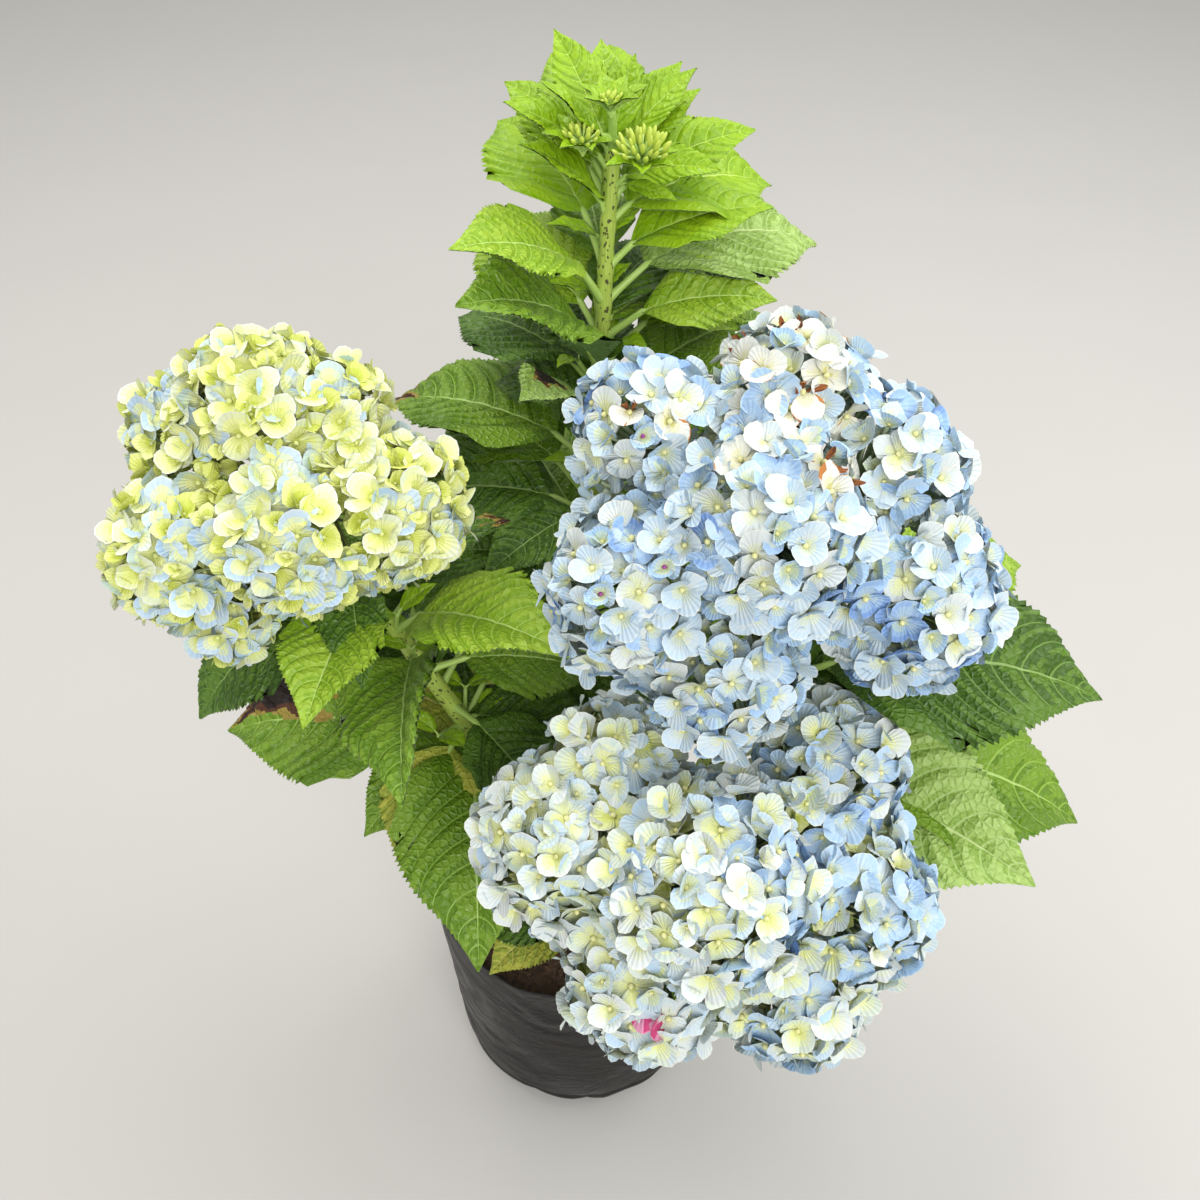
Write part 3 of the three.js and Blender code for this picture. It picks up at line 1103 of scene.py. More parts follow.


# Each kind's blade green (darker, painted shade in the grooves by the veins), lighter blade green
# (painted highlight on the quilt's crests), vein, rib and underside greens, roughness and relief.
GREENS: dict[AgeAndLight, tuple[LeafFinish, ...]] = {
    AgeAndLight.CROWN: greens("crown", 0x779C0C, 0x86A818, 0x9AB832, 0xAAC356, 0xA9C46C, 0.38, 0.4),
    AgeAndLight.FRESH: greens("fresh", 0x7C9E1E, 0x90AE30, 0x9CBA48, 0xB0CA6C, 0x9CB574, 0.34, 0.8),
    AgeAndLight.GROWN: greens("grown", 0x5C7E18, 0x709026, 0x82A03C, 0x9FBA64, 0x90A86C, 0.32, 1.0),
    # Painted shade: a darker green for leaves that lie in shade.
    AgeAndLight.SHADED: greens("shaded", 0x3E5C16, 0x547422, 0x608032, 0x829C54, 0x7C9862, 0.34, 1.0),
    # Partly the leaf's own paler tone, partly a painted whitish sheen.
    AgeAndLight.PALE: greens("pale", 0x86A348, 0x9DB862, 0x9AB364, 0xB0C37C, 0x90A86A, 0.32, 1.0),
    AgeAndLight.OLD: greens("old", 0x8E9A34, 0xA4A63A, 0xBCB856, 0xCCC478, 0xA8AA68, 0.44, 1.0),
}
YELLOWED = LeafFinish("leaf_yellowed", 0x948038, 0.5)
BROWNED = LeafFinish("leaf_browned", 0x4E2E1C, 0.62)
CHARRED = LeafFinish("leaf_dark_edge", 0x1E130E, 0.6)
# How deep inside a blemish each of its colours starts.
BLEMISH_DEPTHS = ((0.0, YELLOWED), (0.06, BROWNED), (0.14, CHARRED))
UNDER_BLEMISH_DEPTH = 0.1

STALK = StemFinish("leaf_stalk", 0xB4CC70, 0x9ABC54, 0x6E5A3A, 0.08)
SHOOT_STEM = StemFinish("shoot_stem", 0xB4C75C, 0x98AE46, 0x3E2E22, 0.44)
CANE_BARK = StemFinish("cane_skin", 0x7F8A4A, 0x66683A, 0x3E3024, 0.4)
CROWN_BARK = BarkFinish("crown_bark", 0x9A8767, 0x66513A, 0x2C2118)


@dataclass(frozen=True)
class LeafLook:
    """What sets one leaf apart: how old it is or the painted shade or sheen that it takes, its
    mark, its roll in degrees and how deeply it folds.
    """

    age: AgeAndLight
    blemish: Blemish = Blemish.NONE
    roll: float = 0.0
    fold: float = 0.26


@dataclass(frozen=True)
class LeafPattern:
    """The outline of a leaf as half widths at places along it, and its number of side veins."""

    places: tuple[float, ...]
    halves: tuple[float, ...]
    veins: int


BROAD = LeafPattern(
    (0.0, 0.04, 0.1, 0.26, 0.44, 0.64, 0.8, 0.9, 0.96, 1.0),
    (0.02, 0.11, 0.2, 0.305, 0.32, 0.24, 0.125, 0.058, 0.024, 0.003),
    9,
)
SLENDER = LeafPattern(
    (0.0, 0.08, 0.3, 0.5, 0.62, 0.82, 0.92, 1.0),
    (0.02, 0.12, 0.265, 0.262, 0.22, 0.105, 0.045, 0.003),
    7,
)
LANCE = LeafPattern(
    (0.0, 0.08, 0.3, 0.5, 0.7, 0.86, 0.95, 1.0),
    (0.02, 0.1, 0.215, 0.225, 0.16, 0.075, 0.026, 0.003),
    8,
)
TINY = LeafPattern((0.0, 0.1, 0.35, 0.6, 0.85, 1.0), (0.03, 0.15, 0.24, 0.2, 0.08, 0.004), 4)


@dataclass
class Leaf:
    """One leaf: a drooping, folded, toothed blade quilted between its side veins, and a stalk."""

    root: Array
    turn: float
    rise: float
    length: float
    stalk: float
    look: LeafLook
    seed: int
    pattern: LeafPattern = BROAD
    droop_share: float = 1.0
    stalk_lift: float = 15.0
    stalk_radius: float = 2.1
    thickness: float = 0.4
    columns: tuple[float, ...] = (0.0, 0.02, 0.12, 0.28, 0.45, 0.62, 0.78, 0.9, 1.0)
    # Depths of the quilting, the margin's wave and the unevenness, as shares of the length.
    quilt_depth: float = 0.026
    wave_depth: float = 0.022
    uneven_depth: float = 0.012
    # How far a tooth leans on along the margin, and how many degrees leaves differ in roll.
    tooth_lean: float = 0.012
    roll_spread: float = 14.0
    # Rows between two side veins: the first and last border the veins, and every second one is
    # a tooth's point.
    rows: tuple[float, ...] = (0.035, 0.2, 0.37, 0.56, 0.76, 0.965)

    def heading(self) -> Array:
        """The level direction that the leaf points in."""
        return np.array([math.cos(math.radians(self.turn)), math.sin(math.radians(self.turn)), 0.0])

    def aim(self, angle: Array) -> Array:
        """The leaf's direction at an angle above the horizon, in degrees."""
        tilt = np.radians(np.asarray(angle, float))[..., None]
        return self.heading() * np.cos(tilt) + UPWARD * np.sin(tilt)

    def droop(self) -> float:
        """How many degrees the blade droops from its foot to its tip, by the source's rule."""
        return mix(34.0, 50.0, min(1.0, max(0.0, (self.length - 60) / 60))) * self.droop_share

    def foot(self) -> Array:
        """Where the blade meets the stalk."""
        return self.root + self.aim(self.rise + self.stalk_lift) * self.stalk

    def middle(self, share: Array) -> Array:
        """Points down the middle of the blade.

        Args:
            share: Places along the blade.

        Returns:
            A point for each place.
        """
        droop = math.radians(self.droop())
        rise = math.radians(self.rise)
        level = (np.sin(rise) - np.sin(rise - droop * share)) / droop
        raised = (np.cos(rise - droop * share) - np.cos(rise)) / droop
        sway = (chance(self.seed, 5) - 0.5) * 0.09 * self.length
        side = np.cross(self.heading(), UPWARD)
        return (
            self.foot()
            + self.heading() * (level * self.length)[..., None]
            + UPWARD * (raised * self.length)[..., None]
            + side * (sway * share**2)[..., None]
        )

    def fineness(self) -> int:
        """How many times finer the blade is divided: twice where a blemish has a ragged edge."""
        return 1 if self.look.blemish is Blemish.NONE else 2

    def lay_out(self) -> tuple[Array, Array, Array]:
        """Lays out the rows of the blade.

        Returns:
            The row places, whether each row borders a vein strip below it, and how sharp the
            margin's tooth is there.
        """
        rows, veined, teeth = [0.0], [False], [0.0]
        for number in range(self.pattern.veins):
            for index, offset in enumerate(self.rows):
                rows.append((number + offset) / self.pattern.veins)
                veined.append(index == len(self.rows) - 1)
                teeth.append(1.0 if index % 2 == 0 else 0.0)
        coarse = np.arange(len(rows) + 1)
        fine = np.linspace(0, len(rows), len(rows) * self.fineness() + 1)
        repeated = np.repeat(veined + [False], self.fineness())[: len(fine)]
        places = np.interp(fine, coarse, rows + [1.0])
        return places, repeated, np.interp(fine, coarse, teeth + [0.0])

    def surface(self) -> tuple[Array, Array, Array, Array, Array, Array, Array]:
        """Works out the blade's surface.

        Returns:
            The points before and after quilting and their upward directions, the flat coordinates,
            the row places, the column places, and which row strips are veins.
        """
        rows, veined, teeth = self.lay_out()
        steps = len(self.columns) - 1
        half_columns = np.interp(
            np.linspace(0, steps, steps * self.fineness() + 1), np.arange(steps + 1), self.columns
        )
        columns = np.concatenate([-half_columns[:0:-1], half_columns])
        spread = np.abs(columns)[None]
        row = rows[:, None]
        slant = np.clip(row / 0.1, 0, 1) * (1 - row)
        edge = (spread > 0.999) * teeth[:, None]
        share = np.clip(row + 0.4 * slant * spread**1.45 + self.tooth_lean * edge, 0, 1)
        half = smooth_steps(np.array(self.pattern.places), np.array(self.pattern.halves), share)
        lean = 1 + 0.1 * (chance(self.seed, 6) - 0.5) * np.sign(columns)[None]
        x = columns[None] * half * lean * self.length * (1 + 0.1 * edge * np.clip(half / 0.1, 0, 1))
        within = np.mod(row * self.pattern.veins, 1.0)
        arch = 1 - np.abs(2 * within - 1) ** 2.6
        cell = np.floor(row * self.pattern.veins) * 2.4
        puffs = 0.8 + 0.2 * np.cos(spread * math.pi * 4.5 + cell + self.seed)
        dome = (4 * spread * (1 - spread * 0.93)) ** 0.5
        quilt = self.quilt_depth * self.length * arch * puffs * dome * np.clip(half / 0.15, 0.2, 1)
        phase = chance(self.seed, 7) * FULL_TURN
        wave = np.sin(share * FULL_TURN * 2.3 + phase + (columns[None] > 0) * 1.9) * spread**2
        unevenness = Ripple(self.seed % 97, 2)(columns[None] * 0.5, share * 1.1)
        z = (
            self.look.fold * half * self.length * spread**1.25 * (1 - 0.3 * spread**2)
            + self.wave_depth * self.length * wave * np.clip(half / 0.2, 0, 1)
            + self.uneven_depth * self.length * unevenness * spread
        )
        tilt = math.radians(self.look.roll + (chance(self.seed, 8) - 0.5) * self.roll_spread)
        roll = tilt * np.clip(share * 2.5, 0, 1)
        along = self.aim(self.rise - self.droop() * share)
        across = unit(np.cross(along, UPWARD))
        over = np.cross(across, along)
        rolled_across = across * np.cos(roll)[..., None] + over * np.sin(roll)[..., None]
        upward = over * np.cos(roll)[..., None] - across * np.sin(roll)[..., None]
        plain = self.middle(share) + rolled_across * x[..., None] + upward * z[..., None]
        flat = stacked(x, share * self.length)
        quilted = plain + upward * quilt[..., None]
        column = np.broadcast_to(columns[None], share.shape)
        return plain, quilted, upward, flat, share, column, veined

    def scorched(self, share: Array, column: Array) -> Array:
        """How far each face lies inside the leaf's blemish.

        Args:
            share: The faces' places along the blade.
            column: The faces' places across it, from -1 to 1.

        Returns:
            Above 0 inside the blemish, rising to its heart.
        """
        ragged = 0.16 * Ripple(self.seed % 89 + 3, 2)(share * 3.2, column * 1.6)
        if self.look.blemish is Blemish.BROWN_TIP:
            return (share - 0.82) * 0.9 + 0.7 * ragged
        if self.look.blemish is Blemish.SPOT:
            return 0.5 - np.hypot((share - 0.45) * 2.6, (column - 0.5) * 1.3) + ragged
        side = {Blemish.SCORCH_LEFT: -1.0, Blemish.SCORCH_RIGHT: 1.0}.get(self.look.blemish)
        if side is None:
            return np.full(share.shape, -1.0)
        return 0.62 - np.hypot((share - 0.56) * 1.7, (column * side - 0.8) * 0.8) + ragged

    def add_blade(self, pile: Pile) -> None:
        """Adds the blade and its paler, plainer underside.

        Args:
            pile: Where they go.
        """
        plain, points, upward, flat, share, column, veined = self.surface()
        blade, light, vein, rib, under = (pile.slot_of(f) for f in GREENS[self.look.age])
        face_share, face_column = between(share), between(column)
        mottle = Ripple(self.seed % 83 + 7, 2)(face_share * 1.6, face_column * 0.9)
        rows = self.lay_out()[0]
        within = np.mod((rows[1:] + rows[:-1]) / 2 * self.pattern.veins, 1.0)
        # Painted light: the quilt's crests, and faces lifted by random mottle, take the lighter
        # green as painted highlight; the grooves by the veins keep the darker blade green as
        # painted shade.
        crest_highlight = 1 - np.abs(2 * within - 1)[:, None]
        slots = np.where(crest_highlight + 0.7 * mottle > 0.52, light, blade)
        slots[veined[:-1], :] = vein
        slots[np.abs(face_column) < 0.02] = rib
        inside = self.scorched(face_share, face_column)
        for level, finish in BLEMISH_DEPTHS:
            if (inside > level).any():
                slots[inside > level] = pile.slot_of(finish)
        thick = np.full(share.shape, self.thickness)
        thick += np.clip(1 - np.abs(column) / 0.05, 0, 1) * (1 - share) * self.length * 0.011
        thick += (veined | np.roll(veined, 1))[:, None] * (1 - np.abs(column)) * 0.35
        below = plain - upward * thick[..., None]
        below[:, [0, -1]] += (below[:, [1, -2]] - below[:, [0, -1]]) * 0.15
        pile.grid(points, slots, flat, turned=True)
        fine = self.fineness()
        starts = [1 + number * len(self.rows) for number in range(self.pattern.veins)]
        inner = [fine * (start + step) for start in starts for step in (0, 3, 5)]
        row_picks = [0] + inner + [len(veined) - 1]
        middle = len(self.columns) - 1
        column_picks = [fine * (middle + step) for step in (-8, -5, -3, -1, 0, 1, 3, 5, 8)]
        picks = np.ix_(row_picks, column_picks)
        bottom = np.full((len(row_picks) - 1, len(column_picks) - 1), under)
        bottom[veined[row_picks][:-1], :] = vein
        inside = self.scorched(between(share[picks]), between(column[picks]))
        if (inside > UNDER_BLEMISH_DEPTH).any():
            bottom[inside > UNDER_BLEMISH_DEPTH] = pile.slot_of(BROWNED)
        pile.grid(below[picks], bottom, flat[picks])

    def add_stalk(self, pile: Pile) -> None:
        """Adds the stalk, which clasps the stem and runs on under the blade as its rib.

        Args:
            pile: Where it goes.
        """
        reach = np.array([0.04, 0.12, 0.2, 0.3])
        scale = min(1.0, self.length / 70)
        lift = self.aim(self.rise + self.stalk_lift)
        steps = np.linspace(0, 1, 8)[:, None]
        bent = Bend(self.root, self.root + lift * self.stalk * 0.62, self.foot())
        run = bent.at(steps[:, 0])
        under = self.middle(reach) - UPWARD * (self.thickness + 0.6) * scale
        path = np.concatenate([run, under])
        radii = np.concatenate([
            self.stalk_radius * (0.86 + 0.85 * np.exp(-steps[:, 0] * 5)),
            self.stalk_radius * np.array([0.74, 0.6, 0.45, 0.2]),
        ]) * scale
        tube(pile, path, radii, 10, STALK)


@dataclass(frozen=True)
class Filler:
    """A leaf that fills in behind the pairs, at a place along its shoot."""

    at: float
    leafing: Leafing
    # By default the darker green that paints the shade behind the pairs.
    age: AgeAndLight = AgeAndLight.SHADED
    droop_share: float = 1.0


@dataclass
class Shoot:
    """A shoot: a cane from the crown, bare at first, with leaves in crossed pairs above."""

    side: str
    curve: Bend
    foot_radius: float
    tip_radius: float
    bare: float
    seed: int
    pairs: tuple[tuple[float, Leafing, Leafing], ...]
    looks: dict[tuple[int, int], LeafLook]
    # How old the other leaves are, or the painted shade that they take, by the pair that it starts
    # from.
    ages: dict[int, AgeAndLight]
    top: float = 1.0
    young: float = 80.0
    lance_from: int = 99
    lance_length: float = 0.76
    light_roll: float = 8.0
    cane_sides: int = 26
    stem_sides: int = 20
    fillers: tuple[Filler, ...] = ()

    def radius(self, share: Array) -> Array:
        """The shoot's radius at places along it."""
        return self.foot_radius + (self.tip_radius - self.foot_radius) * share

    def pattern_of(self, length: float, lance: bool) -> LeafPattern:
        """The outline of a leaf, by its length or as a lance."""
        return LANCE if lance else SLENDER if length < self.young else BROAD

    def usual_look(self, node: int, turn: float) -> LeafLook:
        """The look of a leaf that has none of its own, rolled a little toward the open front."""
        age = self.ages[max(start for start in self.ages if start <= node)]
        return self.rolled_look(age, turn)

    def rolled_look(self, age: AgeAndLight, turn: float) -> LeafLook:
        """A plain look, of how old a leaf is or of its painted light, rolled by the way that the
        leaf points.
        """
        return LeafLook(age, roll=-self.light_roll * math.cos(math.radians(turn)))

    def leaves(self) -> list[Leaf]:
        """Grows the shoot's leaves by the source's rule.

        Returns:
            The leaves of the pairs, and then the fillers.
        """
        grown = []
        for node, (at, *pair) in enumerate(self.pairs):
            for which, (turn, rise, length, stalk) in enumerate(pair):
                grown.append(
                    Leaf(
                        root=self.curve.at(at),
                        turn=turn + (chance(self.seed, node * 2 + which) - 0.5) * 4,
                        rise=rise,
                        length=length * (self.lance_length if node >= self.lance_from else 1.0),
                        stalk=stalk,
                        look=self.looks.get((node, which), self.usual_look(node, turn)),
                        seed=self.seed * 100 + node * 2 + which,
                        pattern=self.pattern_of(length, node >= self.lance_from),
                    )
                )
        for number, filler in enumerate(self.fillers):
            turn, _, length, _ = filler.leafing
            pattern = self.pattern_of(length, filler.age is AgeAndLight.CROWN)
            look = self.rolled_look(filler.age, turn)
            seed = self.seed * 100 + 500 + number
            root = self.curve.at(filler.at)
            grown.append(Leaf(root, *filler.leafing, look, seed, pattern, filler.droop_share))
        return grown

    def twigs(self) -> list[tuple[Bend, list[Leaf]]]:
        """Grows short side twigs in the forks of large leaves, each with a pair of small leaves.

        Returns:
            Each twig's curve and its leaves.
        """
        grown = []
        for node, (at, *pair) in enumerate(self.pairs):
            for which, (turn, rise, length, _) in enumerate(pair):
                place = node * 2 + which
                if length < 90 or chance(self.seed + 900, place) < 0.4:
                    continue
                root = self.curve.at(at)
                size = mix(14, 26, chance(self.seed + 901, place))
                way = math.radians(turn + mix(-24, 24, chance(self.seed + 902, place)))
                lift = math.radians(min(70, rise + 42))
                level = math.cos(lift)
                out = np.array([math.cos(way) * level, math.sin(way) * level, math.sin(lift)])
                tip = root + out * size
                curve = Bend(root, root + out * size * 0.5 + UPWARD, tip)
                leaves = [
                    Leaf(
                        root=tip - out * 1.5,
                        turn=math.degrees(way) + spin,
                        rise=38,
                        length=mix(18, 32, chance(self.seed + 903 + index, place)),
                        stalk=4,
                        look=LeafLook(AgeAndLight.CROWN),
                        seed=self.seed * 100 + 700 + place * 2 + index,
                        pattern=TINY,
                    )
                    for index, spin in enumerate((-80, 84))
                ]
                grown.append((curve, leaves))
        return grown

    def build_cane(self) -> Object:
        """Builds the bare cane with its buds' scars in relief.

        Returns:
            The cane's piece.
        """
        pile = Pile()
        share = np.linspace(0, self.bare, 90)
        angles = turns(self.cane_sides)
        relief = 1 + limb_relief(self.seed, 0.03, angles, share, 1.6, 4)
        relief = relief + limb_relief(self.seed + 1, 0.02, angles, share, 4, 26)
        for scar in np.arange(0.08, self.bare, 0.11):
            relief = relief + 0.16 * hump(share, scar, 0.008)[:, None]
        tube(pile, self.curve.at(share), self.radius(share), self.cane_sides, CANE_BARK, relief)
        return pile.piece(f"{self.side}_cane_bark", (f"{self.side}_cane",), "cane")

    def build_foliage(self) -> tuple[Object, Object]:
        """Builds the leafy part of the shoot.

        Returns:
            The piece of its stem, stalks and twigs, and the piece of its leaves.
        """
        stems, blades = Pile(), Pile()
        share = np.linspace(self.bare, self.top, 150)
        relief = 1 + limb_relief(self.seed + 2, 0.035, turns(self.stem_sides), share, 1.4, 5)
        for at, *_ in self.pairs:
            relief = relief + 0.12 * hump(share, at, 0.006)[:, None]
        tube(stems, self.curve.at(share), self.radius(share), self.stem_sides, SHOOT_STEM, relief)
        for leaf in self.leaves():
            leaf.add_stalk(stems)
            leaf.add_blade(blades)
        for curve, leaves in self.twigs():
            tube(stems, curve.at(np.linspace(0, 1, 6)), np.linspace(1.7, 1.1, 6), 8, STALK)
            for leaf in leaves:
                leaf.add_stalk(stems)
                leaf.add_blade(blades)
        node = (f"{self.side}_foliage",)
        return (
            stems.piece(f"{self.side}_stems", node, "leaf"),
            blades.piece(f"{self.side}_leaves", node, "leaf"),
        )


LEFT = Shoot(
    "left",
    Bend((-18, 4, 236), (-62, 4, 380), (-126, 18, 512)),
    foot_radius=7.2,
    tip_radius=4.0,
    bare=0.42,
    seed=11,
    pairs=(
        (0.45, (-85, 6, 138, 12), (100, 12, 112, 30)),
        (0.49, (-110, -18, 90, 20), (62, 14, 96, 26)),
        (0.34, (175, 13, 132, 58), (20, 24, 84, 26)),
        (0.7, (-88, 32, 110, 20), (96, 20, 108, 26)),
        (0.78, (-30, 37, 104, 34), (150, 16, 104, 28)),
        (0.88, (-101, 16, 80, 20), (88, 14, 92, 24)),
        (0.9, (-154, -15, 96, 28), (30, 18, 76, 20)),
        (0.94, (-126, -5, 62, 14), (-78, 2, 62, 12)),
    ),
    looks={
        (1, 0): LeafLook(AgeAndLight.OLD),
        (1, 1): LeafLook(AgeAndLight.OLD, Blemish.SPOT),
        (0, 0): LeafLook(AgeAndLight.GROWN, roll=-6),
        (2, 0): LeafLook(AgeAndLight.GROWN, Blemish.SCORCH_RIGHT, 24),
        (3, 0): LeafLook(AgeAndLight.GROWN, roll=-42, fold=0.5),
        (3, 1): LeafLook(AgeAndLight.SHADED, Blemish.SPOT),
        (4, 0): LeafLook(AgeAndLight.FRESH),
        (5, 0): LeafLook(AgeAndLight.FRESH),
        (6, 1): LeafLook(AgeAndLight.SHADED, Blemish.BROWN_TIP),
    },
    ages={0: AgeAndLight.SHADED, 5: AgeAndLight.GROWN, 6: AgeAndLight.SHADED},
    fillers=(
        Filler(0.48, (-20, 4, 86, 22)),
        Filler(0.55, (-46, -4, 84, 24)),
        Filler(0.6, (60, 10, 90, 26)),
        Filler(0.66, (10, 0, 88, 24), AgeAndLight.GROWN),
        Filler(0.8, (60, 4, 80, 22)),
        Filler(0.7, (158, 4, 84, 6)),
        Filler(0.62, (112, 8, 84, 10)),
        Filler(0.5, (152, 4, 84, 10), AgeAndLight.OLD),
        Filler(0.41, (176, 2, 88, 3), AgeAndLight.OLD),
        Filler(0.37, (158, 8, 90, 3)),
        Filler(0.5, (62, 6, 80, 3)),
        Filler(0.44, (-140, -4, 80, 14), AgeAndLight.GROWN),
        Filler(0.4, (-112, -8, 76, 12), AgeAndLight.OLD),
        Filler(0.5, (-4, 10, 84, 8)),
    ),
)
RIGHT = Shoot(
    "right",
    Bend((16, -4, 236), (118, 0, 352), (96, -34, 506)),
    foot_radius=7.4,
    tip_radius=4.2,
    bare=0.33,
    seed=23,
    pairs=(
        (0.42, (-28, 25, 160, 60), (176, 2, 84, 26)),
        (0.45, (12, -2, 176, 74), (76, 12, 118, 34)),
        (0.52, (-9, 7, 170, 68), (150, 14, 80, 28)),
        (0.78, (-3, 21, 150, 50), (84, 12, 120, 34)),
        (0.82, (8, -6, 100, 40), (160, 14, 96, 32)),
        (0.91, (25, 13, 130, 54), (106, 10, 104, 26)),
    ),
    looks={
        (0, 0): LeafLook(AgeAndLight.PALE, roll=-22),
        (0, 1): LeafLook(AgeAndLight.OLD),
        (1, 0): LeafLook(AgeAndLight.SHADED),
        (2, 0): LeafLook(AgeAndLight.GROWN, roll=-16),
        (3, 0): LeafLook(AgeAndLight.SHADED, roll=-12),
        (5, 0): LeafLook(AgeAndLight.FRESH),
    },
    ages={0: AgeAndLight.SHADED, 3: AgeAndLight.GROWN},
    fillers=(
        Filler(0.8, (10, 4, 74, 24)),
        Filler(0.72, (-30, 4, 70, 24)),
    ),
)
FRONT = Shoot(
    "front",
    Bend((4, -18, 236), (22, -70, 320), (64, -112, 376)),
    foot_radius=6.8,
    tip_radius=4.2,
    bare=0.3,
    seed=37,
    pairs=(
        (0.42, (-146, -7, 78, 20), (14, -4, 84, 28)),
        (0.6, (-170, -3, 88, 20), (-52, -8, 84, 24)),
        (0.76, (-1, -11, 116, 42), (178, -6, 70, 20)),
    ),
    looks={(0, 0): LeafLook(AgeAndLight.OLD), (1, 0): LeafLook(AgeAndLight.SHADED)},
    ages={0: AgeAndLight.GROWN},
)
LEADER = Shoot(
    "leader",
    Bend((0, 18, 236), (10, 100, 420), (24, 122, 706)),
    foot_radius=7.4,
    tip_radius=3.4,
    bare=0.32,
    seed=53,
    pairs=(
        (0.37, (145, 24, 108, 40), (30, 8, 116, 32)),
        (0.44, (192, 40, 78, 26), (75, 8, 118, 30)),
        (0.5, (116, 14, 108, 24), (18, 10, 94, 28)),
        (0.57, (138, 12, 106, 35), (48, 10, 120, 32)),
        (0.62, (154, 16, 124, 29), (-12, 2, 108, 28)),
        (0.67, (234, 57, 82, 16), (39, 16, 107, 44)),
        (0.715, (139, 12, 98, 24), (-115, 62, 73, 23)),
        (0.745, (223, 55, 98, 28), (40, 8, 94, 34)),
        (0.775, (128, 21, 100, 23), (0, 25, 72, 28)),
        (0.815, (219, 45, 80, 34), (30, 14, 119, 30)),
        (0.85, (118, 27, 98, 31), (10, 29, 76, 19)),
        (0.895, (202, 59, 56, 13), (37, 11, 99, 14)),
        (0.915, (129, 20, 75, 20), (22, 28, 74, 11)),
        (0.926, (110, 34, 106, 16), (-22, 32, 66, 12)),
        (0.938, (150, 34, 62, 10), (65, 24, 76, 16)),
        (0.945, (88, 31, 94, 15), (46, 36, 64, 13)),
    ),
    looks={
        (4, 0): LeafLook(AgeAndLight.GROWN, Blemish.BROWN_TIP),
        (5, 0): LeafLook(AgeAndLight.PALE, Blemish.SPOT),
        (6, 0): LeafLook(AgeAndLight.SHADED),
        (6, 1): LeafLook(AgeAndLight.SHADED),
        (7, 0): LeafLook(AgeAndLight.GROWN, roll=20),
        (9, 0): LeafLook(AgeAndLight.FRESH, roll=20, fold=0.2),
        (9, 1): LeafLook(AgeAndLight.PALE, roll=-12, fold=0.14),
    },
    ages={0: AgeAndLight.SHADED, 2: AgeAndLight.GROWN, 6: AgeAndLight.FRESH, 10: AgeAndLight.CROWN},
    top=0.962,
    lance_from=12,
    light_roll=20.0,
    fillers=(
        Filler(0.4, (-172, 4, 66, 14)),
        Filler(0.6, (84, 12, 88, 20)),
        Filler(0.69, (98, 10, 86, 20)),
        Filler(0.76, (70, 14, 82, 20), AgeAndLight.GROWN),
        Filler(0.83, (96, 16, 78, 18), AgeAndLight.GROWN),
        Filler(0.79, (50, 4, 74, 6), AgeAndLight.GROWN),
        Filler(0.7, (150, 4, 70, 6)),
        Filler(0.8, (66, 16, 76, 4)),
        Filler(0.73, (112, 12, 78, 4)),
        Filler(0.55, (172, 14, 96, 26)),
        Filler(0.42, (-162, 12, 84, 12)),
        Filler(0.5, (-162, 10, 84, 14)),
        Filler(0.56, (-140, 8, 74, 10)),
        Filler(0.64, (-22, 6, 74, 14)),
        Filler(0.945, (123, 48, 57, 14), AgeAndLight.CROWN, 0.45),
        Filler(0.945, (96, 42, 52, 14), AgeAndLight.CROWN, 0.45),
        Filler(0.958, (65, 60, 38, 8), AgeAndLight.CROWN, 0.3),
        Filler(0.945, (46, 42, 49, 12), AgeAndLight.CROWN, 0.45),
        Filler(0.95, (22, 44, 47, 12), AgeAndLight.CROWN, 0.45),
        Filler(0.935, (26, 40, 49, 12), AgeAndLight.CROWN, 0.5),
        Filler(0.915, (20, 28, 71, 12), AgeAndLight.CROWN, 0.8),
        Filler(0.95, (206, 56, 49, 10), AgeAndLight.CROWN, 0.4),
        Filler(0.94, (192, 44, 55, 12), AgeAndLight.CROWN, 0.5),
        Filler(0.925, (133, 30, 68, 16), AgeAndLight.CROWN, 0.8),
        Filler(0.93, (-24, 4, 28, 8), AgeAndLight.CROWN, 0.6),
    ),
)
SHOOTS = (LEFT, RIGHT, FRONT, LEADER)


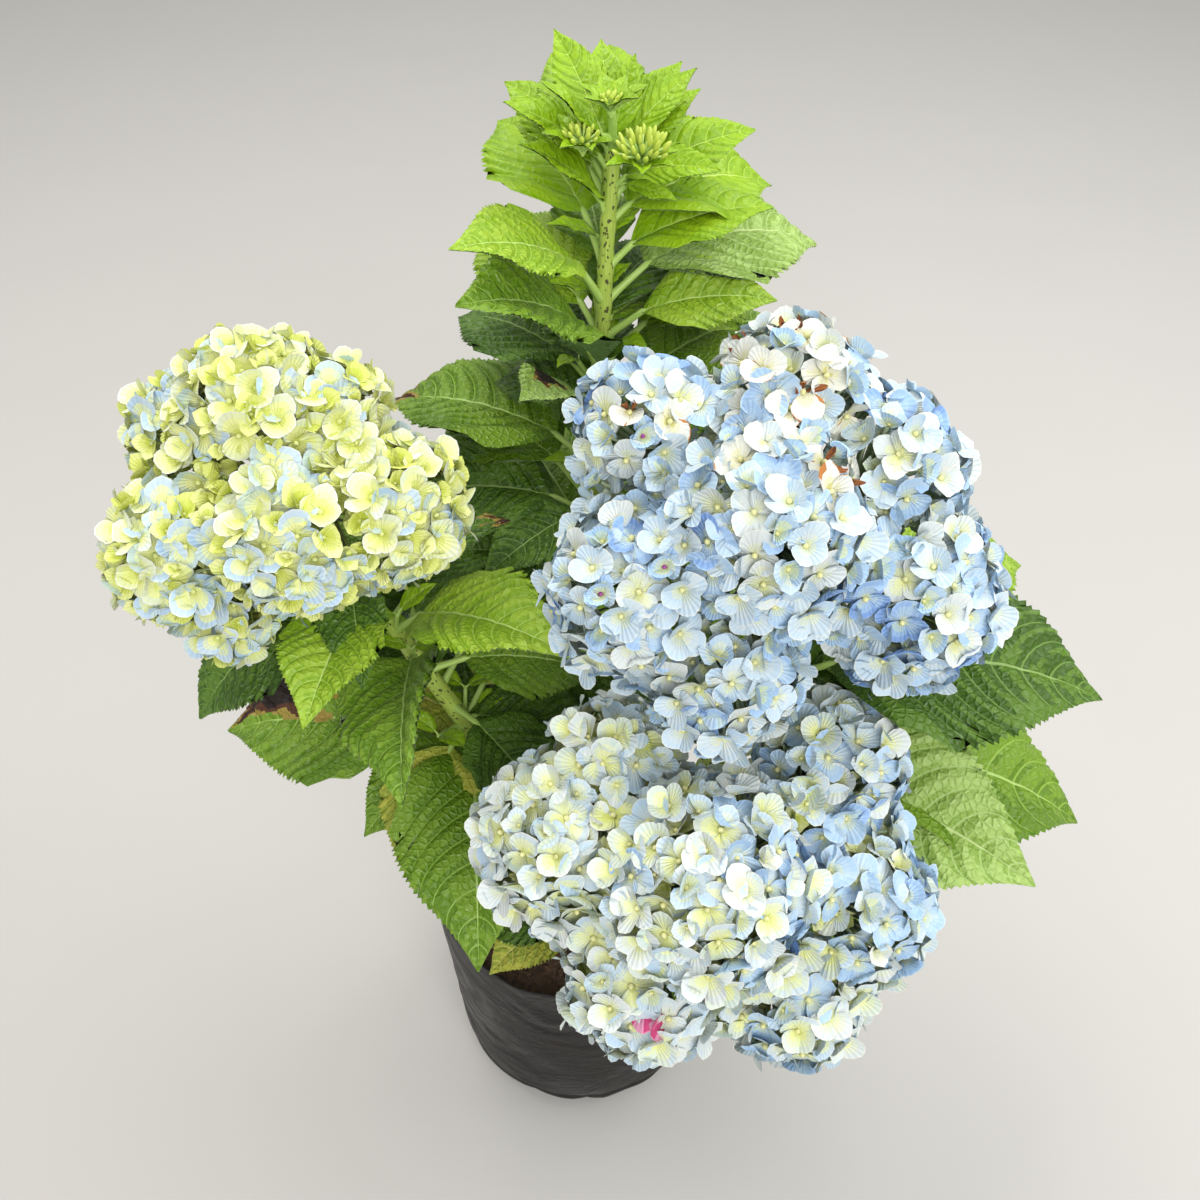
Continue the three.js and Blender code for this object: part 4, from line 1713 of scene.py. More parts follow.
@dataclass
class WoodyCrown:
    """The crown: a flared, ridged stump with one short arm for each cane, in flaking bark."""

    flare_radius: float = 33.0
    neck_radius: float = 19.0
    height: float = 24.0
    foot: float = 200.3
    lean: float = 3.0
    root_ridges: int = 5
    ridge_depth: float = 0.14
    arm_inset: float = 22.0
    arm_radius: float = 9.5
    sides: int = 64
    arm_sides: int = 24
    finish: BarkFinish = CROWN_BARK

    def build(self) -> Object:
        """Builds the stump and its arms as one piece.

        Returns:
            The crown's piece.
        """
        pile = Pile()
        turn = turns(self.sides)
        share = np.linspace(-0.12, 1, 30)
        spread = np.clip(1 - share, 0, 1.1) ** 2.2
        ridge = 1 + self.ridge_depth * spread[:, None] * np.cos(turn * self.root_ridges)
        rough = 1 + limb_relief(301, 0.05, turn, share, 1.3, 1)
        rough = rough + limb_relief(307, 0.03, turn, share, 4, 2)
        swell = self.neck_radius + (self.flare_radius - self.neck_radius) * spread
        radii = swell[:, None] * ridge * rough
        dome = np.linspace(1, 0.04, 8)[1:]
        radii = np.concatenate([radii, radii[-1:] * dome[:, None]])
        top = self.foot + self.height + 3.5 * (1 - dome**2)
        heights = np.concatenate([self.foot + share * self.height, top])
        shift = np.concatenate([self.lean * np.clip(share, 0, 1), np.full(7, self.lean)])
        across = radii * np.cos(turn) + shift[:, None]
        points = stacked(across, radii * np.sin(turn), heights[:, None])
        flat = stacked(turn[None] * self.flare_radius * 0.8, heights[:, None])
        pile.grid(points, pile.slot_of(self.finish), flat, closed=True)
        for shoot in SHOOTS:
            self.add_arm(pile, shoot)
        return pile.piece("crown_bark", ("woody_crown",), "bark")

    def add_arm(self, pile: Pile, shoot: Shoot) -> None:
        """Adds the arm that one cane stands on.

        Args:
            pile: Where it goes.
            shoot: The cane's shoot.
        """
        foot = np.array(shoot.curve.foot, float)
        start = shoot.curve.heading(0.0)
        base = (0.0, 0.0, self.foot - 0.3 + self.arm_radius * 1.5)
        curve = Bend(base, foot - start * self.arm_inset, foot + start * 0.4)
        share = np.linspace(0, 1, 30)
        radii = self.arm_radius + (shoot.foot_radius - self.arm_radius) * share
        relief = 1 + limb_relief(shoot.seed + 5, 0.05, turns(self.arm_sides), share, 2, 1)
        relief = relief + 0.09 * hump(share, 0.93, 0.05)[:, None]
        tube(pile, curve.at(share), radii, self.arm_sides, self.finish, relief)


# The flower heads.


def tone(first: int, second: int, share: float) -> int:
    """Mixes two 0xRRGGBB colours by share."""
    pairs = (((first >> shift) & 255, (second >> shift) & 255, shift) for shift in CHANNELS)
    return sum(round(mix(start, end, share)) << shift for start, end, shift in pairs)


def tone_by(first: int, middle: int, last: int, share: float) -> int:
    """Goes by share from one 0xRRGGBB colour by a middle one to another.

    Args:
        first: The colour at 0.
        middle: The colour at a half.
        last: The colour at 1.
        share: How far to go.

    Returns:
        The colour there.
    """
    if share < 0.5:
        return tone(first, middle, share * 2)
    return tone(middle, last, share * 2 - 1)


class Mark(Enum):
    """How a floret differs from its neighbours."""

    NONE = "none"
    AGED = "aged to ivory"
    DRIED = "dried to rust brown"
    PINK = "one magenta sepal"


@dataclass(frozen=True)
class Blush:
    """A floret's colours: how lime its heart is, how far that spreads, how blue its edge is."""

    lime: float
    spread: float
    blue: float


class SepalColours:
    """The colours of one head's sepals, in small steps from lime by white to blue."""

    white = 0xD3D5CB
    sky = 0xA9C3D8
    deep_blue = 0x7A9CD0
    lime_steps = 8
    blue_steps = 9
    half_lime = 0xDEE198
    full_lime = 0xC8D158
    aged = (0xD2CB80, 0xDCD9B4, 0xDBDACA, 0xD3D5CC)
    dried = (0xB47438, 0x96562A, 0x6E3E20)
    pinks = (0xCC88A2, 0xBC3A6E)
    grain = Ripple(911, 2)

    def __init__(self, pile: Pile) -> None:
        """Makes every step's finish.

        Args:
            pile: The pile whose slots they take.
        """
        limes, blues = range(self.lime_steps + 1), range(self.blue_steps + 1)
        self.steps = np.array(
            [[pile.slot_of(self.step(lime, blue)) for blue in blues] for lime in limes]
        )
        self.aged_slots = self.row(pile, "aged", self.aged)
        self.dried_slots = self.row(pile, "dried", self.dried, 0.7)
        self.pink_slots = self.row(pile, "pink", self.pinks)

    @staticmethod
    def row(pile: Pile, kind: str, colours: tuple[int, ...], gloss: float = 0.55) -> Array:
        """The slots of a row of colours in a pile."""
        finishes = (SepalFinish(f"sepal_{kind}_{i}", c, gloss) for i, c in enumerate(colours))
        return np.array([pile.slot_of(finish) for finish in finishes])

    @staticmethod
    def nearest(values: Array, last: int) -> Array:
        """The whole steps nearest to the values, from 0 to the last."""
        return np.clip(np.round(values), 0, last).astype(int)

    def step(self, lime: int, blue: int) -> SepalFinish:
        """The finish at one step of lime and one of blue.

        Args:
            lime: The step from white to lime.
            blue: The step from white to blue.

        Returns:
            The finish.
        """
        share, depth = lime / self.lime_steps, blue / self.blue_steps
        body = tone_by(self.white, self.sky, self.deep_blue, depth)
        colour = tone_by(body, self.half_lime, self.full_lime, share)
        return SepalFinish(f"sepal_lime{lime}_blue{blue}", colour)

    def deal(self, blush: Blush, mark: Mark, share: Array, fan: Array, seed: int) -> Array:
        """Deals out the colours of one sepal.

        Args:
            blush: The floret's colouring.
            mark: The sepal's mark.
            share: Each face's place from claw to tip.
            fan: Each face's place across the fan, from -1 to 1.
            seed: The sepal's seed.

        Returns:
            A slot for each face.
        """
        share, fan = np.broadcast_arrays(share, fan)
        grain = self.grain(fan * 0.9 + chance(seed, 9) * 40, share * 1.3 + chance(seed, 10) * 40)
        if mark is Mark.DRIED:
            return self.dried_slots[self.nearest(grain * 1.4 + 0.9, len(self.dried) - 1)]
        if mark is Mark.AGED:
            slots = self.aged_slots[self.nearest(share * 3.2 + grain * 0.5, len(self.aged) - 1)]
            edge = share + np.abs(fan) ** 4 * 0.3 + grain * 0.35
            return np.where(edge > mix(1.05, 1.5, chance(seed, 11)), self.dried_slots[0], slots)
        lime = blush.lime * np.clip(1.15 - share / blush.spread, 0, 1) ** 0.7
        ease = np.clip((share - 0.08) / 0.8, 0, 1)
        blue = blush.blue * (0.25 + 0.75 * ease) + 0.12 * blush.blue * np.abs(fan) ** 3
        lime_step = self.nearest(lime * self.lime_steps + grain * 0.5, self.lime_steps)
        blue_step = self.nearest(blue * self.blue_steps + grain * 0.55, self.blue_steps)
        rim = 2 * (share > 0.95).astype(int)
        slots = self.steps[np.maximum(lime_step - rim, 0), np.maximum(blue_step - rim, 0)]
        if mark is Mark.PINK:
            pinks = self.pink_slots[(grain > 0.1).astype(int)]
            slots = np.where(share + 0.45 * grain - 0.5 * np.abs(fan) > 0.3, pinks, slots)
        return slots


@dataclass(frozen=True)
class Wash:
    """A colouring that gathers round one place of a head, seen along the way that it faces."""

    blush: Blush
    strength: float
    x: float = 0.0
    y: float = 0.0
    reach: float = 1e6
    mark: Mark = Mark.NONE

    def weight(self, x: float, y: float) -> float:
        """How likely the colouring is at a place."""
        apart = (x - self.x) ** 2 + (y - self.y) ** 2
        return self.strength * math.exp(-apart / (2 * self.reach**2))


@dataclass(frozen=True)
class SepalShape:
    """How one sepal is bent and drawn.

    Lengths are in millimetres and angles in radians. The cup is the rise at its claw, and the curl
    is what it gains to its tip.
    """

    length: float
    turn: float
    cup: float
    curl: float
    twist: float
    point: float
    half_fan: float
    seed: int


@dataclass(frozen=True)
class SepalGrid:
    """How finely a sepal is divided: columns across its fan and rows from claw to tip."""

    columns: int
    rows: tuple[float, ...]
    roundness: float = 0.36

    def add(
        self,
        pile: Pile,
        seat: Array,
        axes: Axes,
        shape: SepalShape,
        slots: Callable[[Array, Array], Array],
    ) -> None:
        """Adds one sepal to a pile.

        Args:
            pile: Where it goes.
            seat: The middle of the floret.
            axes: The floret's directions across, up its face and out of it.
            shape: The sepal's shape.
            slots: Deals out a slot for each face by its place from claw to tip and across the fan.
        """
        across, up, out = axes
        seed, length = shape.seed, shape.length
        even = np.linspace(-1, 1, self.columns + 1)[None]
        fan = 0.75 * np.sin(even * math.pi / 2) + 0.25 * even
        share = np.array(self.rows)[:, None]
        rim = np.cos(fan * (math.pi / 2) * 0.985) ** self.roundness
        tip = 1 + 0.75 * shape.point * np.exp(-((fan * 3.6) ** 2))
        rim = rim * tip * (1 + 0.03 * np.sin(fan * 6 + chance(seed, 2) * 6.3))
        reach = share * rim
        angle = fan * shape.half_fan
        along, side = reach * np.cos(angle), reach * np.sin(angle)
        bend = shape.curl if abs(shape.curl) > 1e-3 else 1e-3
        forward = (np.sin(shape.cup + bend * along) - math.sin(shape.cup)) / bend
        height = (math.cos(shape.cup) - np.cos(shape.cup + bend * along)) / bend
        height = height + mix(0.05, 0.42, chance(seed, 3)) * side**2 + shape.twist * side * along
        ruffle = np.sin(fan * mix(4, 8, chance(seed, 7)) + chance(seed, 4) * 6.3)
        height = height + mix(0.03, 0.09, chance(seed, 6)) * share**2 * ruffle
        heading = across * math.cos(shape.turn) + up * math.sin(shape.turn)
        sideways = -across * math.sin(shape.turn) + up * math.cos(shape.turn)
        form = forward[..., None] * heading + side[..., None] * sideways + height[..., None] * out
        points = seat + length * form
        flat = stacked(fan * 3 + chance(seed, 5) * 9, share * 4)
        pile.grid(points, slots((share[1:] + share[:-1]) / 2, (fan[:, 1:] + fan[:, :-1]) / 2), flat)


FULL_SEPAL = SepalGrid(12, (0.05, 0.27, 0.5, 0.73, 0.955, 1.0))
SMALL_SEPAL = SepalGrid(8, (0.05, 0.38, 0.7, 1.0))
DEEP_SEPAL = SepalGrid(4, (0.05, 0.5, 1.0))


@dataclass(frozen=True)
class FloretHabit:
    """How a head's florets grow: their sepals' lengths, cups and points, and how many are small."""

    length: tuple[float, float]
    cup: tuple[float, float]
    point: tuple[float, float]
    area: float
    small_share: float
    small_cup: float = 26.0
    deep_blush: Blush = Blush(0.8, 1.2, 0.1)


@dataclass
class Bloom:
    """A mophead: lobes of overlapping florets on branching stalks, facing the light."""

    side: str
    shoot: Shoot
    centre: Point
    seed: int
    lobes: tuple[Point, ...]
    habit: FloretHabit
    washes: tuple[Wash, ...]
    stalk: StemFinish
    bead: StemFinish
    rare_share: float = 0.0
    facing: float = 48.0
    set_back: float = 190.0
    widest: float = 124.0
    floret_room: float = -2.0
    sunk: float = 7.0
    fill: float = 0.5
    deep: float = 9.0
    stalk_radii: tuple[float, float] = (4.2, 3.2)
    branch_radii: tuple[float, float] = (2.6, 1.8)
    twig_radii: Point = (1.1, 0.8, 0.9)
    axes: Axes = field(init=False)

    def __post_init__(self) -> None:
        """Works out the head's directions across it, up it and out of it."""
        tilt = math.radians(self.facing)
        self.axes = (
            np.array([1.0, 0.0, 0.0]),
            np.array([0.0, math.sin(tilt), math.cos(tilt)]),
            np.array([0.0, -math.cos(tilt), math.sin(tilt)]),
        )

    def lobe_centres(self) -> list[tuple[Array, float]]:
        """Places the lobes by the source's rule.

        Returns:
            The middle and radius of each lobe.
        """
        across, up, out = self.axes
        head = np.array(self.centre)
        return [
            (head + across * x + up * y - out * ((x * x + y * y) / self.set_back), radius)
            for x, y, radius in self.lobes
        ]

    def filled_centres(self) -> list[tuple[Array, float]]:
        """The lobes, and between each two that meet a smaller one that fills their valley in part.

        Returns:
            The middle and radius of each.
        """
        lobes = self.lobe_centres()
        found = list(lobes)
        for place, (first, reach) in enumerate(lobes):
            for second, other in lobes[place + 1:]:
                apart = float(np.linalg.norm(second - first))
                near = (apart**2 + reach**2 - other**2) / (2 * apart)
                if near >= reach:
                    continue
                valley = math.sqrt(max(0.0, reach**2 - near**2))
                smaller = min(reach, other)
                if valley > 0.35 * smaller:
                    middle = first + (second - first) * near / apart
                    found.append((middle, mix(valley, smaller, self.fill)))
        return found

    def seats(self, depth: float, area: float, extra: int) -> list[Seat]:
        """Spreads florets over every lobe, but not inside another lobe or on the underside.

        Args:
            depth: How far below the lobes' surface they sit.
            area: The area that each takes.
            extra: An addition to the spiral's turn, so that two layers differ.

        Returns:
            Each floret's place, its outward direction, its lobe and its number there.
        """
        centres = self.filled_centres()
        lowest = math.cos(math.radians(self.widest))
        room = math.sqrt(area) * 0.62
        found: list[Seat] = []
        for number, (centre, full) in enumerate(centres):
            radius = full - depth
            count = round(4 * math.pi * radius**2 / area)
            for index in range(count):
                height = 1 - (2 * index + 1) / count
                flat = math.sqrt(1 - height * height)
                angle = index * GOLDEN_ANGLE + number + extra
                normal = np.array([flat * math.cos(angle), flat * math.sin(angle), height])
                point = centre + normal * radius
                buried = any(
                    np.linalg.norm(point - other) < reach - depth + self.floret_room
                    for place, (other, reach) in enumerate(centres)
                    if place != number
                )
                crowded = any(np.linalg.norm(point - seat[0]) < room for seat in found)
                if not buried and not crowded and normal @ self.axes[2] >= lowest:
                    found.append((point, normal, number, index))
        return found

    def wash_at(self, point: Array, draw: float) -> Wash:
        """Deals out a floret's colouring by its place.

        Args:
            point: The floret's place.
            draw: A number from 0 to 1.

        Returns:
            The wash that it takes.
        """
        offset = point - np.array(self.centre)
        x, y = float(offset @ self.axes[0]), float(offset @ self.axes[1])
        weights = [wash.weight(x, y) for wash in self.washes]
        left = draw * sum(weights)
        for wash, weight in zip(self.washes, weights):
            left -= weight
            if left <= 0:
                return wash
        return self.washes[-1]

    def add_floret(
        self, petals: Pile, beads: Pile, colours: SepalColours, seat: Seat, deep: bool
    ) -> Array:
        """Adds one floret.

        Args:
            petals: The pile that its sepals go to.
            beads: The pile that its bead goes to.
            colours: The head's sepal colours.
            seat: Its place, direction, lobe and number.
            deep: True for a plain one deep in the head.

        Returns:
            The point behind it where its stalk ends.
        """
        point, normal, number, index = seat
        habit = self.habit
        seed = self.seed * 31 + number * 977 + index * 7 + (5000 if deep else 0)
        lean = unit(np.array([chance(seed, 21), chance(seed, 22), chance(seed, 23)]) - 0.5)
        out = unit(normal + lean * mix(0.05, 0.62, chance(seed, 24)))
        across, out, over = frame_along(out)
        axes = (across, -over, out)
        small = deep or chance(seed, 25) < habit.small_share
        shrink = mix(0.5, 0.78, chance(seed, 32)) if small else 1.0
        length = mix(*habit.length, chance(seed, 26)) * shrink
        middle = point - normal * (mix(0.0, 5.5, chance(seed, 27)) if not small else 1.0)
        cup = math.radians(mix(*habit.cup, chance(seed, 28)) + (habit.small_cup if small else 0))
        spin = chance(seed, 29) * math.pi
        wash = self.wash_at(point, chance(seed, 30))
        base = habit.deep_blush if deep else wash.blush
        greener = 0.25 if small and not deep else 0.0
        grid = DEEP_SEPAL if deep else SMALL_SEPAL if small else FULL_SEPAL
        count = 4 if chance(seed, 31) < 0.88 else 5
        for petal in range(count):
            own = seed + petal * 101
            blush = Blush(
                base.lime + greener * base.lime + (chance(own, 13) - 0.5) * 0.16,
                base.spread * mix(0.85, 1.2, chance(own, 14)) + greener,
                max(0.0, base.blue * mix(0.75, 1.25, chance(own, 15)) - greener * 0.4),
            )
            mark = Mark.NONE if deep else wash.mark
            if mark is Mark.DRIED and chance(own, 16) < 0.45:
                mark = Mark.AGED
            if mark is Mark.PINK and petal > 0:
                mark = Mark.NONE
            withered = mark is Mark.DRIED
            shape = SepalShape(
                length=length * mix(0.86, 1.1, chance(own, 17)) * (0.85 if withered else 1.0),
                turn=spin + petal * 2 * math.pi / count + (chance(own, 18) - 0.5) * 0.3,
                cup=cup + (chance(own, 19) - 0.5) * 0.5,
                curl=mix(-0.75, 0.55, chance(own, 20)) + (1.3 if withered else 0.0),
                twist=(chance(own, 33) - 0.5) * 0.7,
                point=mix(*habit.point, chance(own, 34)),
                half_fan=math.radians(mix(57, 69, chance(own, 35)) * (0.26 if withered else 1.0)),
                seed=own,
            )
            grid.add(
                petals,
                middle + out * (0.5 * (petal % 2)),
                axes,
                shape,
                lambda share, fan: colours.deal(blush, mark, share, fan, own),
            )
        if not deep:
            bead = VIOLET_BEAD if chance(seed, 41) < self.rare_share else self.bead
            blob(beads, middle + out * 1.5, out, length * 0.12, length * 0.115, bead, 5, 6)
        return middle - out * 0.6

    def build(self) -> tuple[Object, Object, Object]:
        """Builds the whole head.

        Returns:
            The pieces of its sepals, its beads and its stalks.
        """
        petals, beads, stalks = Pile(), Pile(), Pile()
        colours = SepalColours(petals)
        centres = self.filled_centres()
        tip = np.array(self.shoot.curve.tip, float)
        start = self.shoot.curve.heading(1.0)
        head = np.array(self.centre, float)
        main = Bend(tip, tip + start * 16, head - self.axes[2] * 12)
        tube(
            stalks,
            main.at(np.linspace(0, 1, 16)),
            np.linspace(*self.stalk_radii, 16),
            12,
            self.stalk,
        )
        fork = main.at(0.72)
        hubs = [fork + (centre - fork) * 0.78 for centre, _ in centres]
        for hub in hubs:
            branch = Bend(fork, fork + (hub - fork) * 0.5 + self.axes[2] * 4, hub)
            radii = np.linspace(*self.branch_radii, 8)
            tube(stalks, branch.at(np.linspace(0, 1, 8)), radii, 8, self.stalk)
        outer = self.seats(self.sunk, self.habit.area, 0)
        inner = self.seats(self.sunk + self.deep, self.habit.area, 2)
        for seats, deep in ((outer, False), (inner, True)):
            for seat in seats:
                back = self.add_floret(petals, beads, colours, seat, deep)
                hub = hubs[seat[2]]
                foot = hub + (back - hub) * 0.12
                arc = Bend(foot, foot + (back - foot) * 0.6 - self.axes[2] * 3, back)
                tube(stalks, arc.at(np.linspace(0, 1, 3)), np.array(self.twig_radii), 4, self.stalk)
        node = (f"{self.side}_bloom",)
        LOG.info("%s head: %d florets and %d behind them", self.side, len(outer), len(inner))
        return (
            petals.piece(f"{self.side}_sepals", node, "floret"),
            beads.piece(f"{self.side}_floret_beads", node, "floret"),
            stalks.piece(f"{self.side}_head_stalks", node, "floret"),
        )


LIME_STALK = StemFinish("lime_stalk", 0xB9C86A, 0x9DB04E, 0x8A7A4A, 0.1)
PALE_STALK = StemFinish("pale_stalk", 0xB4C49A, 0x98AC84, 0x8A7A5A, 0.1)
LIME_BEAD = StemFinish("lime_bead", 0xDADF9A, 0xC9D274, 0xB0B860, 0.05)
CREAM_BEAD = StemFinish("cream_bead", 0xE2DFA6, 0xD2D088, 0xC0BC70, 0.05)
VIOLET_BEAD = StemFinish("violet_bead", 0xB0447E, 0x7C4AA8, 0x5A2C6A, 0.1)

LIME_ALL = Blush(0.95, 1.02, 0.16)
LIME_HEART = Blush(0.82, 0.92, 0.22)
LIME_BLUE = Blush(0.7, 0.68, 0.42)
CREAM = Blush(0.45, 0.6, 0.12)
WHITE = Blush(0.25, 0.4, 0.16)
PALE = Blush(0.28, 0.42, 0.36)
SKY = Blush(0.3, 0.4, 0.6)
DEEP = Blush(0.2, 0.35, 0.9)
GREENISH = Blush(0.55, 0.75, 0.26)

BLOOMS = (
    Bloom(
        side="left",
        shoot=LEFT,
        centre=(-141, 4, 568),
        seed=101,
        lobes=(
            (-10, 37, 46),
            (52, -7, 42),
            (-47, -27, 44),
            (24, 37, 34),
            (-30, -58, 28),
            (7, -20, 44),
            (-52, 32, 31),
        ),
        habit=FloretHabit(
            (11.0, 15.2), (8, 42), (0.05, 0.26), 138.0, 0.38, deep_blush=Blush(0.95, 1.5, 0.0)
        ),
        washes=(
            Wash(LIME_ALL, 0.7),
            Wash(LIME_HEART, 1.3),
            Wash(LIME_BLUE, 0.35),
            Wash(LIME_BLUE, 2.4, -30, -60, 26),
            Wash(LIME_BLUE, 1.6, 18, -42, 22),
            Wash(LIME_BLUE, 1.0, -60, 40, 22),
        ),
        stalk=LIME_STALK,
        bead=LIME_BEAD,
    ),
    Bloom(
        side="right",
        shoot=RIGHT,
        centre=(91, -46, 590),
        seed=211,
        lobes=(
            (-52, 48, 39),
            (15, 60, 43),
            (55, 30, 42),
            (70, -28, 48),
            (-57, -26, 47),
            (-18, -64, 41),
            (0, 0, 52),
        ),
        habit=FloretHabit(
            (10.8, 14.0), (2, 42), (0.02, 0.2), 166.0, 0.2, deep_blush=Blush(0.4, 0.8, 0.4)
        ),
        washes=(
            Wash(SKY, 1.1),
            Wash(PALE, 1.2),
            Wash(WHITE, 0.4),
            Wash(CREAM, 0.3),
            Wash(DEEP, 0.14),
            Wash(CREAM, 1.8, 10, 68, 24, Mark.AGED),
            Wash(CREAM, 2.4, 4, 76, 13, Mark.DRIED),
            Wash(CREAM, 2.4, -56, 52, 7, Mark.DRIED),
            Wash(CREAM, 2.2, 20, 36, 8, Mark.DRIED),
            Wash(CREAM, 1.8, 0, 18, 6, Mark.DRIED),
            Wash(CREAM, 1.8, -56, -44, 6, Mark.DRIED),
            Wash(CREAM, 0.7, 16, 30, 18, Mark.AGED),
            Wash(CREAM, 0.8, -50, 50, 14, Mark.AGED),
            Wash(DEEP, 0.5, 78, -34, 26),
            Wash(SKY, 1.4, 76, 0, 40),
        ),
        stalk=PALE_STALK,
        bead=CREAM_BEAD,
        rare_share=0.03,
    ),
    Bloom(
        side="front",
        shoot=FRONT,
        centre=(67, -137, 440),
        seed=307,
        lobes=(
            (-67, 15, 50),
            (68, 49, 44),
            (78, -18, 47),
            (50, -64, 41),
            (-28, -52, 45),
            (-44, 54, 38),
            (0, 0, 58),
        ),
        habit=FloretHabit(
            (11.2, 15.2), (2, 42), (0.02, 0.22), 182.0, 0.26, deep_blush=Blush(0.8, 1.1, 0.2)
        ),
        washes=(
            Wash(PALE, 1.2),
            Wash(WHITE, 0.5),
            Wash(CREAM, 0.5),
            Wash(GREENISH, 0.5),
            Wash(GREENISH, 1.8, -50, 36, 34),
            Wash(LIME_HEART, 0.9, -38, 50, 18),
            Wash(GREENISH, 0.9, 10, -30, 26),
            Wash(SKY, 3.4, 82, 10, 42),
            Wash(DEEP, 0.5, 86, 0, 26),
            Wash(SKY, 1.4, 60, -60, 26),
            Wash(WHITE, 9.0, -28, -63, 6, Mark.PINK),
        ),
        stalk=PALE_STALK,
        bead=CREAM_BEAD,
    ),
)


@dataclass
class BudCrown:
    """The buds on top of the tall shoot: three young clusters on stalks, in ruffs of bracts."""

    clusters: tuple[Point, ...] = ((22, 112, 711), (9, 101, 699), (36, 92, 697))
    buds: tuple[int, ...] = (18, 22, 34)
    bud_radius: float = 1.35
    bud_reach: tuple[float, ...] = (4.5, 6.5, 9.5)
    stalk_radius: float = 2.2
    bracts: tuple[int, ...] = (7, 5, 6)
    bract_length: float = 19.0
    seed: int = 401
    finish: StemFinish = StemFinish("young_bud", 0xC2D05C, 0xAEC044, 0x8EA22C, 0.05)

    def build(self) -> tuple[Object, Object]:
        """Builds the clusters.

        Returns:
            The piece of stalks and buds, and the piece of bracts.
        """
        buds, bracts = Pile(), Pile()
        start = LEADER.curve.heading(LEADER.top)
        base = LEADER.curve.at(LEADER.top)
        for cluster, place in enumerate(self.clusters):
            centre, seed = np.array(place, float), self.seed + cluster
            stalk = Bend(base, base + start * 10, centre - [0, 0, 3])
            tube(buds, stalk.at(np.linspace(0, 1, 10)), np.full(10, self.stalk_radius), 10, STALK)
            for index in range(self.buds[cluster]):
                height = mix(1, 0.1, (index + 0.5) / self.buds[cluster])
                flat = math.sqrt(max(0.0, 1 - height * height))
                angle = index * GOLDEN_ANGLE + cluster
                way = np.array([flat * math.cos(angle), flat * math.sin(angle), height])
                reach = self.bud_reach[cluster] * mix(0.85, 1.2, chance(seed, 50 + index))
                seat = centre + way * reach * np.array([1.15, 1.15, 0.8])
                aim = unit(way + np.array([0.0, -0.2, 0.9]))
                size = self.bud_radius * mix(0.7, 1.1, chance(seed, 90 + index)) * (
                    0.8 + 0.1 * cluster
                )
                blob(buds, seat, aim, size, size * (1.9 + 0.6 * cluster), self.finish, 6, 7)
                tube(
                    buds,
                    np.linspace(centre - [0, 0, 2.5], seat, 3),
                    np.array([0.7, 0.55, 0.6]),
                    5,
                    STALK,
                )
            outward = math.degrees(math.atan2(centre[1] - base[1], centre[0] - base[0]))
            for index in range(self.bracts[cluster]):
                leaf = Leaf(
                    root=centre - np.array([0, 0, 7.0 + cluster]),
                    turn=outward + (index - (self.bracts[cluster] - 1) / 2) * 52,
                    rise=52 - 8 * cluster,
                    length=self.bract_length * mix(0.75, 1.1, chance(seed, index)),
                    stalk=4,
                    look=LeafLook(AgeAndLight.CROWN, fold=0.5),
                    seed=self.seed * 10 + cluster * 10 + index,
                    pattern=TINY,
                )
                leaf.add_stalk(buds)
                leaf.add_blade(bracts)
        node = ("leader_buds",)
        return (
            buds.piece("leader_bud_clusters", node, "bud"),
            bracts.piece("leader_bracts", node, "bud"),
        )


# The studio.


@dataclass(frozen=True)
class SoftLight:
    """A soft square light: its place and side in metres, its power in watts, and its colour."""

    name: str
    place: Point
    size: float
    power: float
    colour: Point


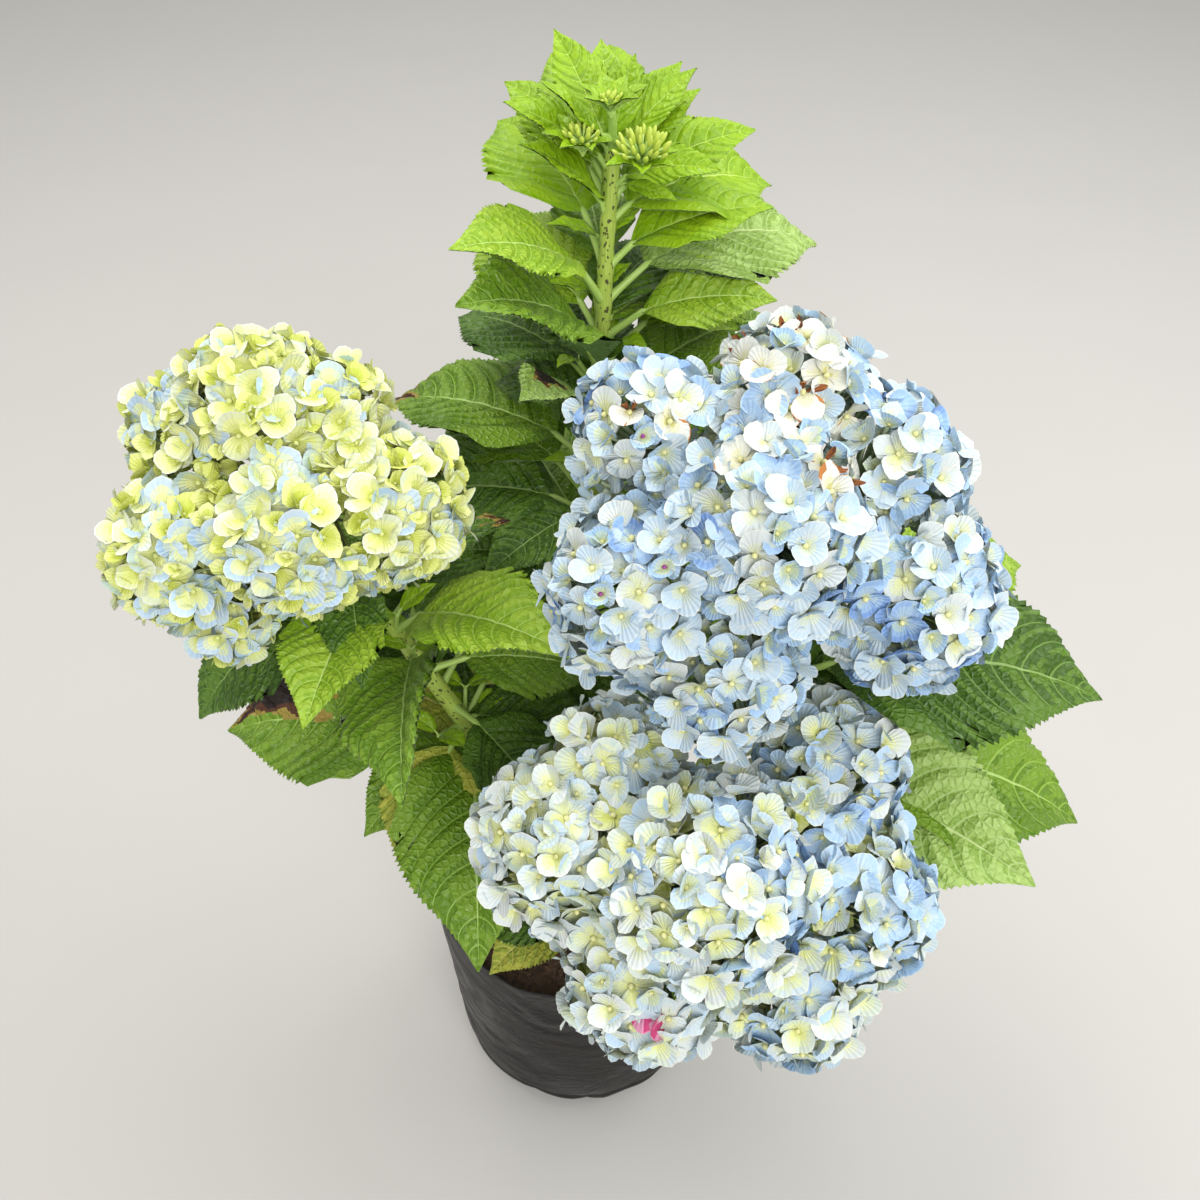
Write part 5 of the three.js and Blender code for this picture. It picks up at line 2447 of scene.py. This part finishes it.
@dataclass
class Studio:
    """The pale floor, soft light and the camera at the photograph's viewing angle."""

    eye: Point = (17.0, -420.0, 960.0)
    pitch: float = 48.0
    focal_pixels: float = 1177.0
    picture_pixels: float = 1200.0
    sensor: float = 36.0
    floor_reach: float = 8.0
    lights: tuple[SoftLight, ...] = (
        SoftLight("key_light", (-0.7, 0.7, 2.3), 1.6, 33.0, (1.0, 0.985, 0.96)),
        SoftLight("sky_light", (1.3, 0.4, 2.0), 1.6, 30.0, (0.98, 0.99, 1.0)),
        SoftLight("fill_light", (0.5, -2.0, 1.9), 1.8, 53.0, (0.99, 0.99, 1.0)),
    )
    # What the lights face, in metres.
    target: Point = (0.0, 0.0, 0.45)
    sky: tuple[float, ...] = (0.95, 0.97, 1.0, 1.0)
    sky_strength: float = 0.6
    finish: FloorFinish = FloorFinish("studio_floor", 0xB6B3AD)

    def build_camera(self) -> None:
        """Makes the scene's camera."""
        data = bpy.data.cameras.new("photo_camera")
        data.sensor_width = self.sensor
        data.lens = self.focal_pixels / self.picture_pixels * self.sensor
        data.clip_start, data.clip_end = 0.01, 50.0
        camera = bpy.data.objects.new("photo_camera", data)
        camera.location = [value * MM for value in self.eye]
        camera.rotation_euler = (math.radians(90 - self.pitch), 0.0, 0.0)
        bpy.context.scene.collection.objects.link(camera)
        bpy.context.scene.camera = camera

    def build_floor(self) -> Object:
        """Makes the floor.

        Returns:
            The floor's object.
        """
        form = bmesh.new()
        bmesh.ops.create_grid(form, x_segments=16, y_segments=16, size=self.floor_reach)
        mesh = bpy.data.meshes.new("studio_floor")
        form.to_mesh(mesh)
        form.free()
        mesh.materials.append(material_of(self.finish))
        floor = bpy.data.objects.new("studio_floor", mesh)
        bpy.context.scene.collection.objects.link(floor)
        return floor

    def build_light(self, soft: SoftLight) -> None:
        """Makes a light that faces the plant.

        Args:
            soft: The light's description.
        """
        data = bpy.data.lights.new(soft.name, "AREA")
        data.size, data.energy, data.color = soft.size, soft.power, soft.colour
        light = bpy.data.objects.new(soft.name, data)
        light.location = soft.place
        way = np.array(self.target) - np.array(soft.place)
        yaw = math.atan2(-way[0], way[1])
        tilt = math.atan2(math.hypot(way[0], way[1]), -way[2])
        light.rotation_euler = (tilt, 0.0, yaw)
        bpy.context.scene.collection.objects.link(light)

    def build(self) -> None:
        """Makes the whole studio."""
        self.build_camera()
        self.build_floor()
        world = bpy.data.worlds.new("studio_sky")
        world.use_nodes = True
        sky = world.node_tree.nodes["Background"]
        sky.inputs["Color"].default_value = self.sky
        sky.inputs["Strength"].default_value = self.sky_strength
        bpy.context.scene.world = world
        for soft in self.lights:
            self.build_light(soft)
        bpy.context.scene.view_settings.view_transform = "Standard"


def write_sizes() -> None:
    """Updates the view layer."""
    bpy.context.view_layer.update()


def main() -> None:
    """Builds the studio, the bag, the crown, the shoots and the heads in order."""
    logging.basicConfig(level=logging.INFO, format="%(name)s: %(message)s")
    Studio().build()
    GrowBag().build()
    PottingSoil().build()
    WoodyCrown().build()
    for shoot in SHOOTS:
        shoot.build_cane()
        shoot.build_foliage()
    for bloom in BLOOMS:
        bloom.build()
    BudCrown().build()
    write_sizes()


if __name__ == "__main__":
    main()
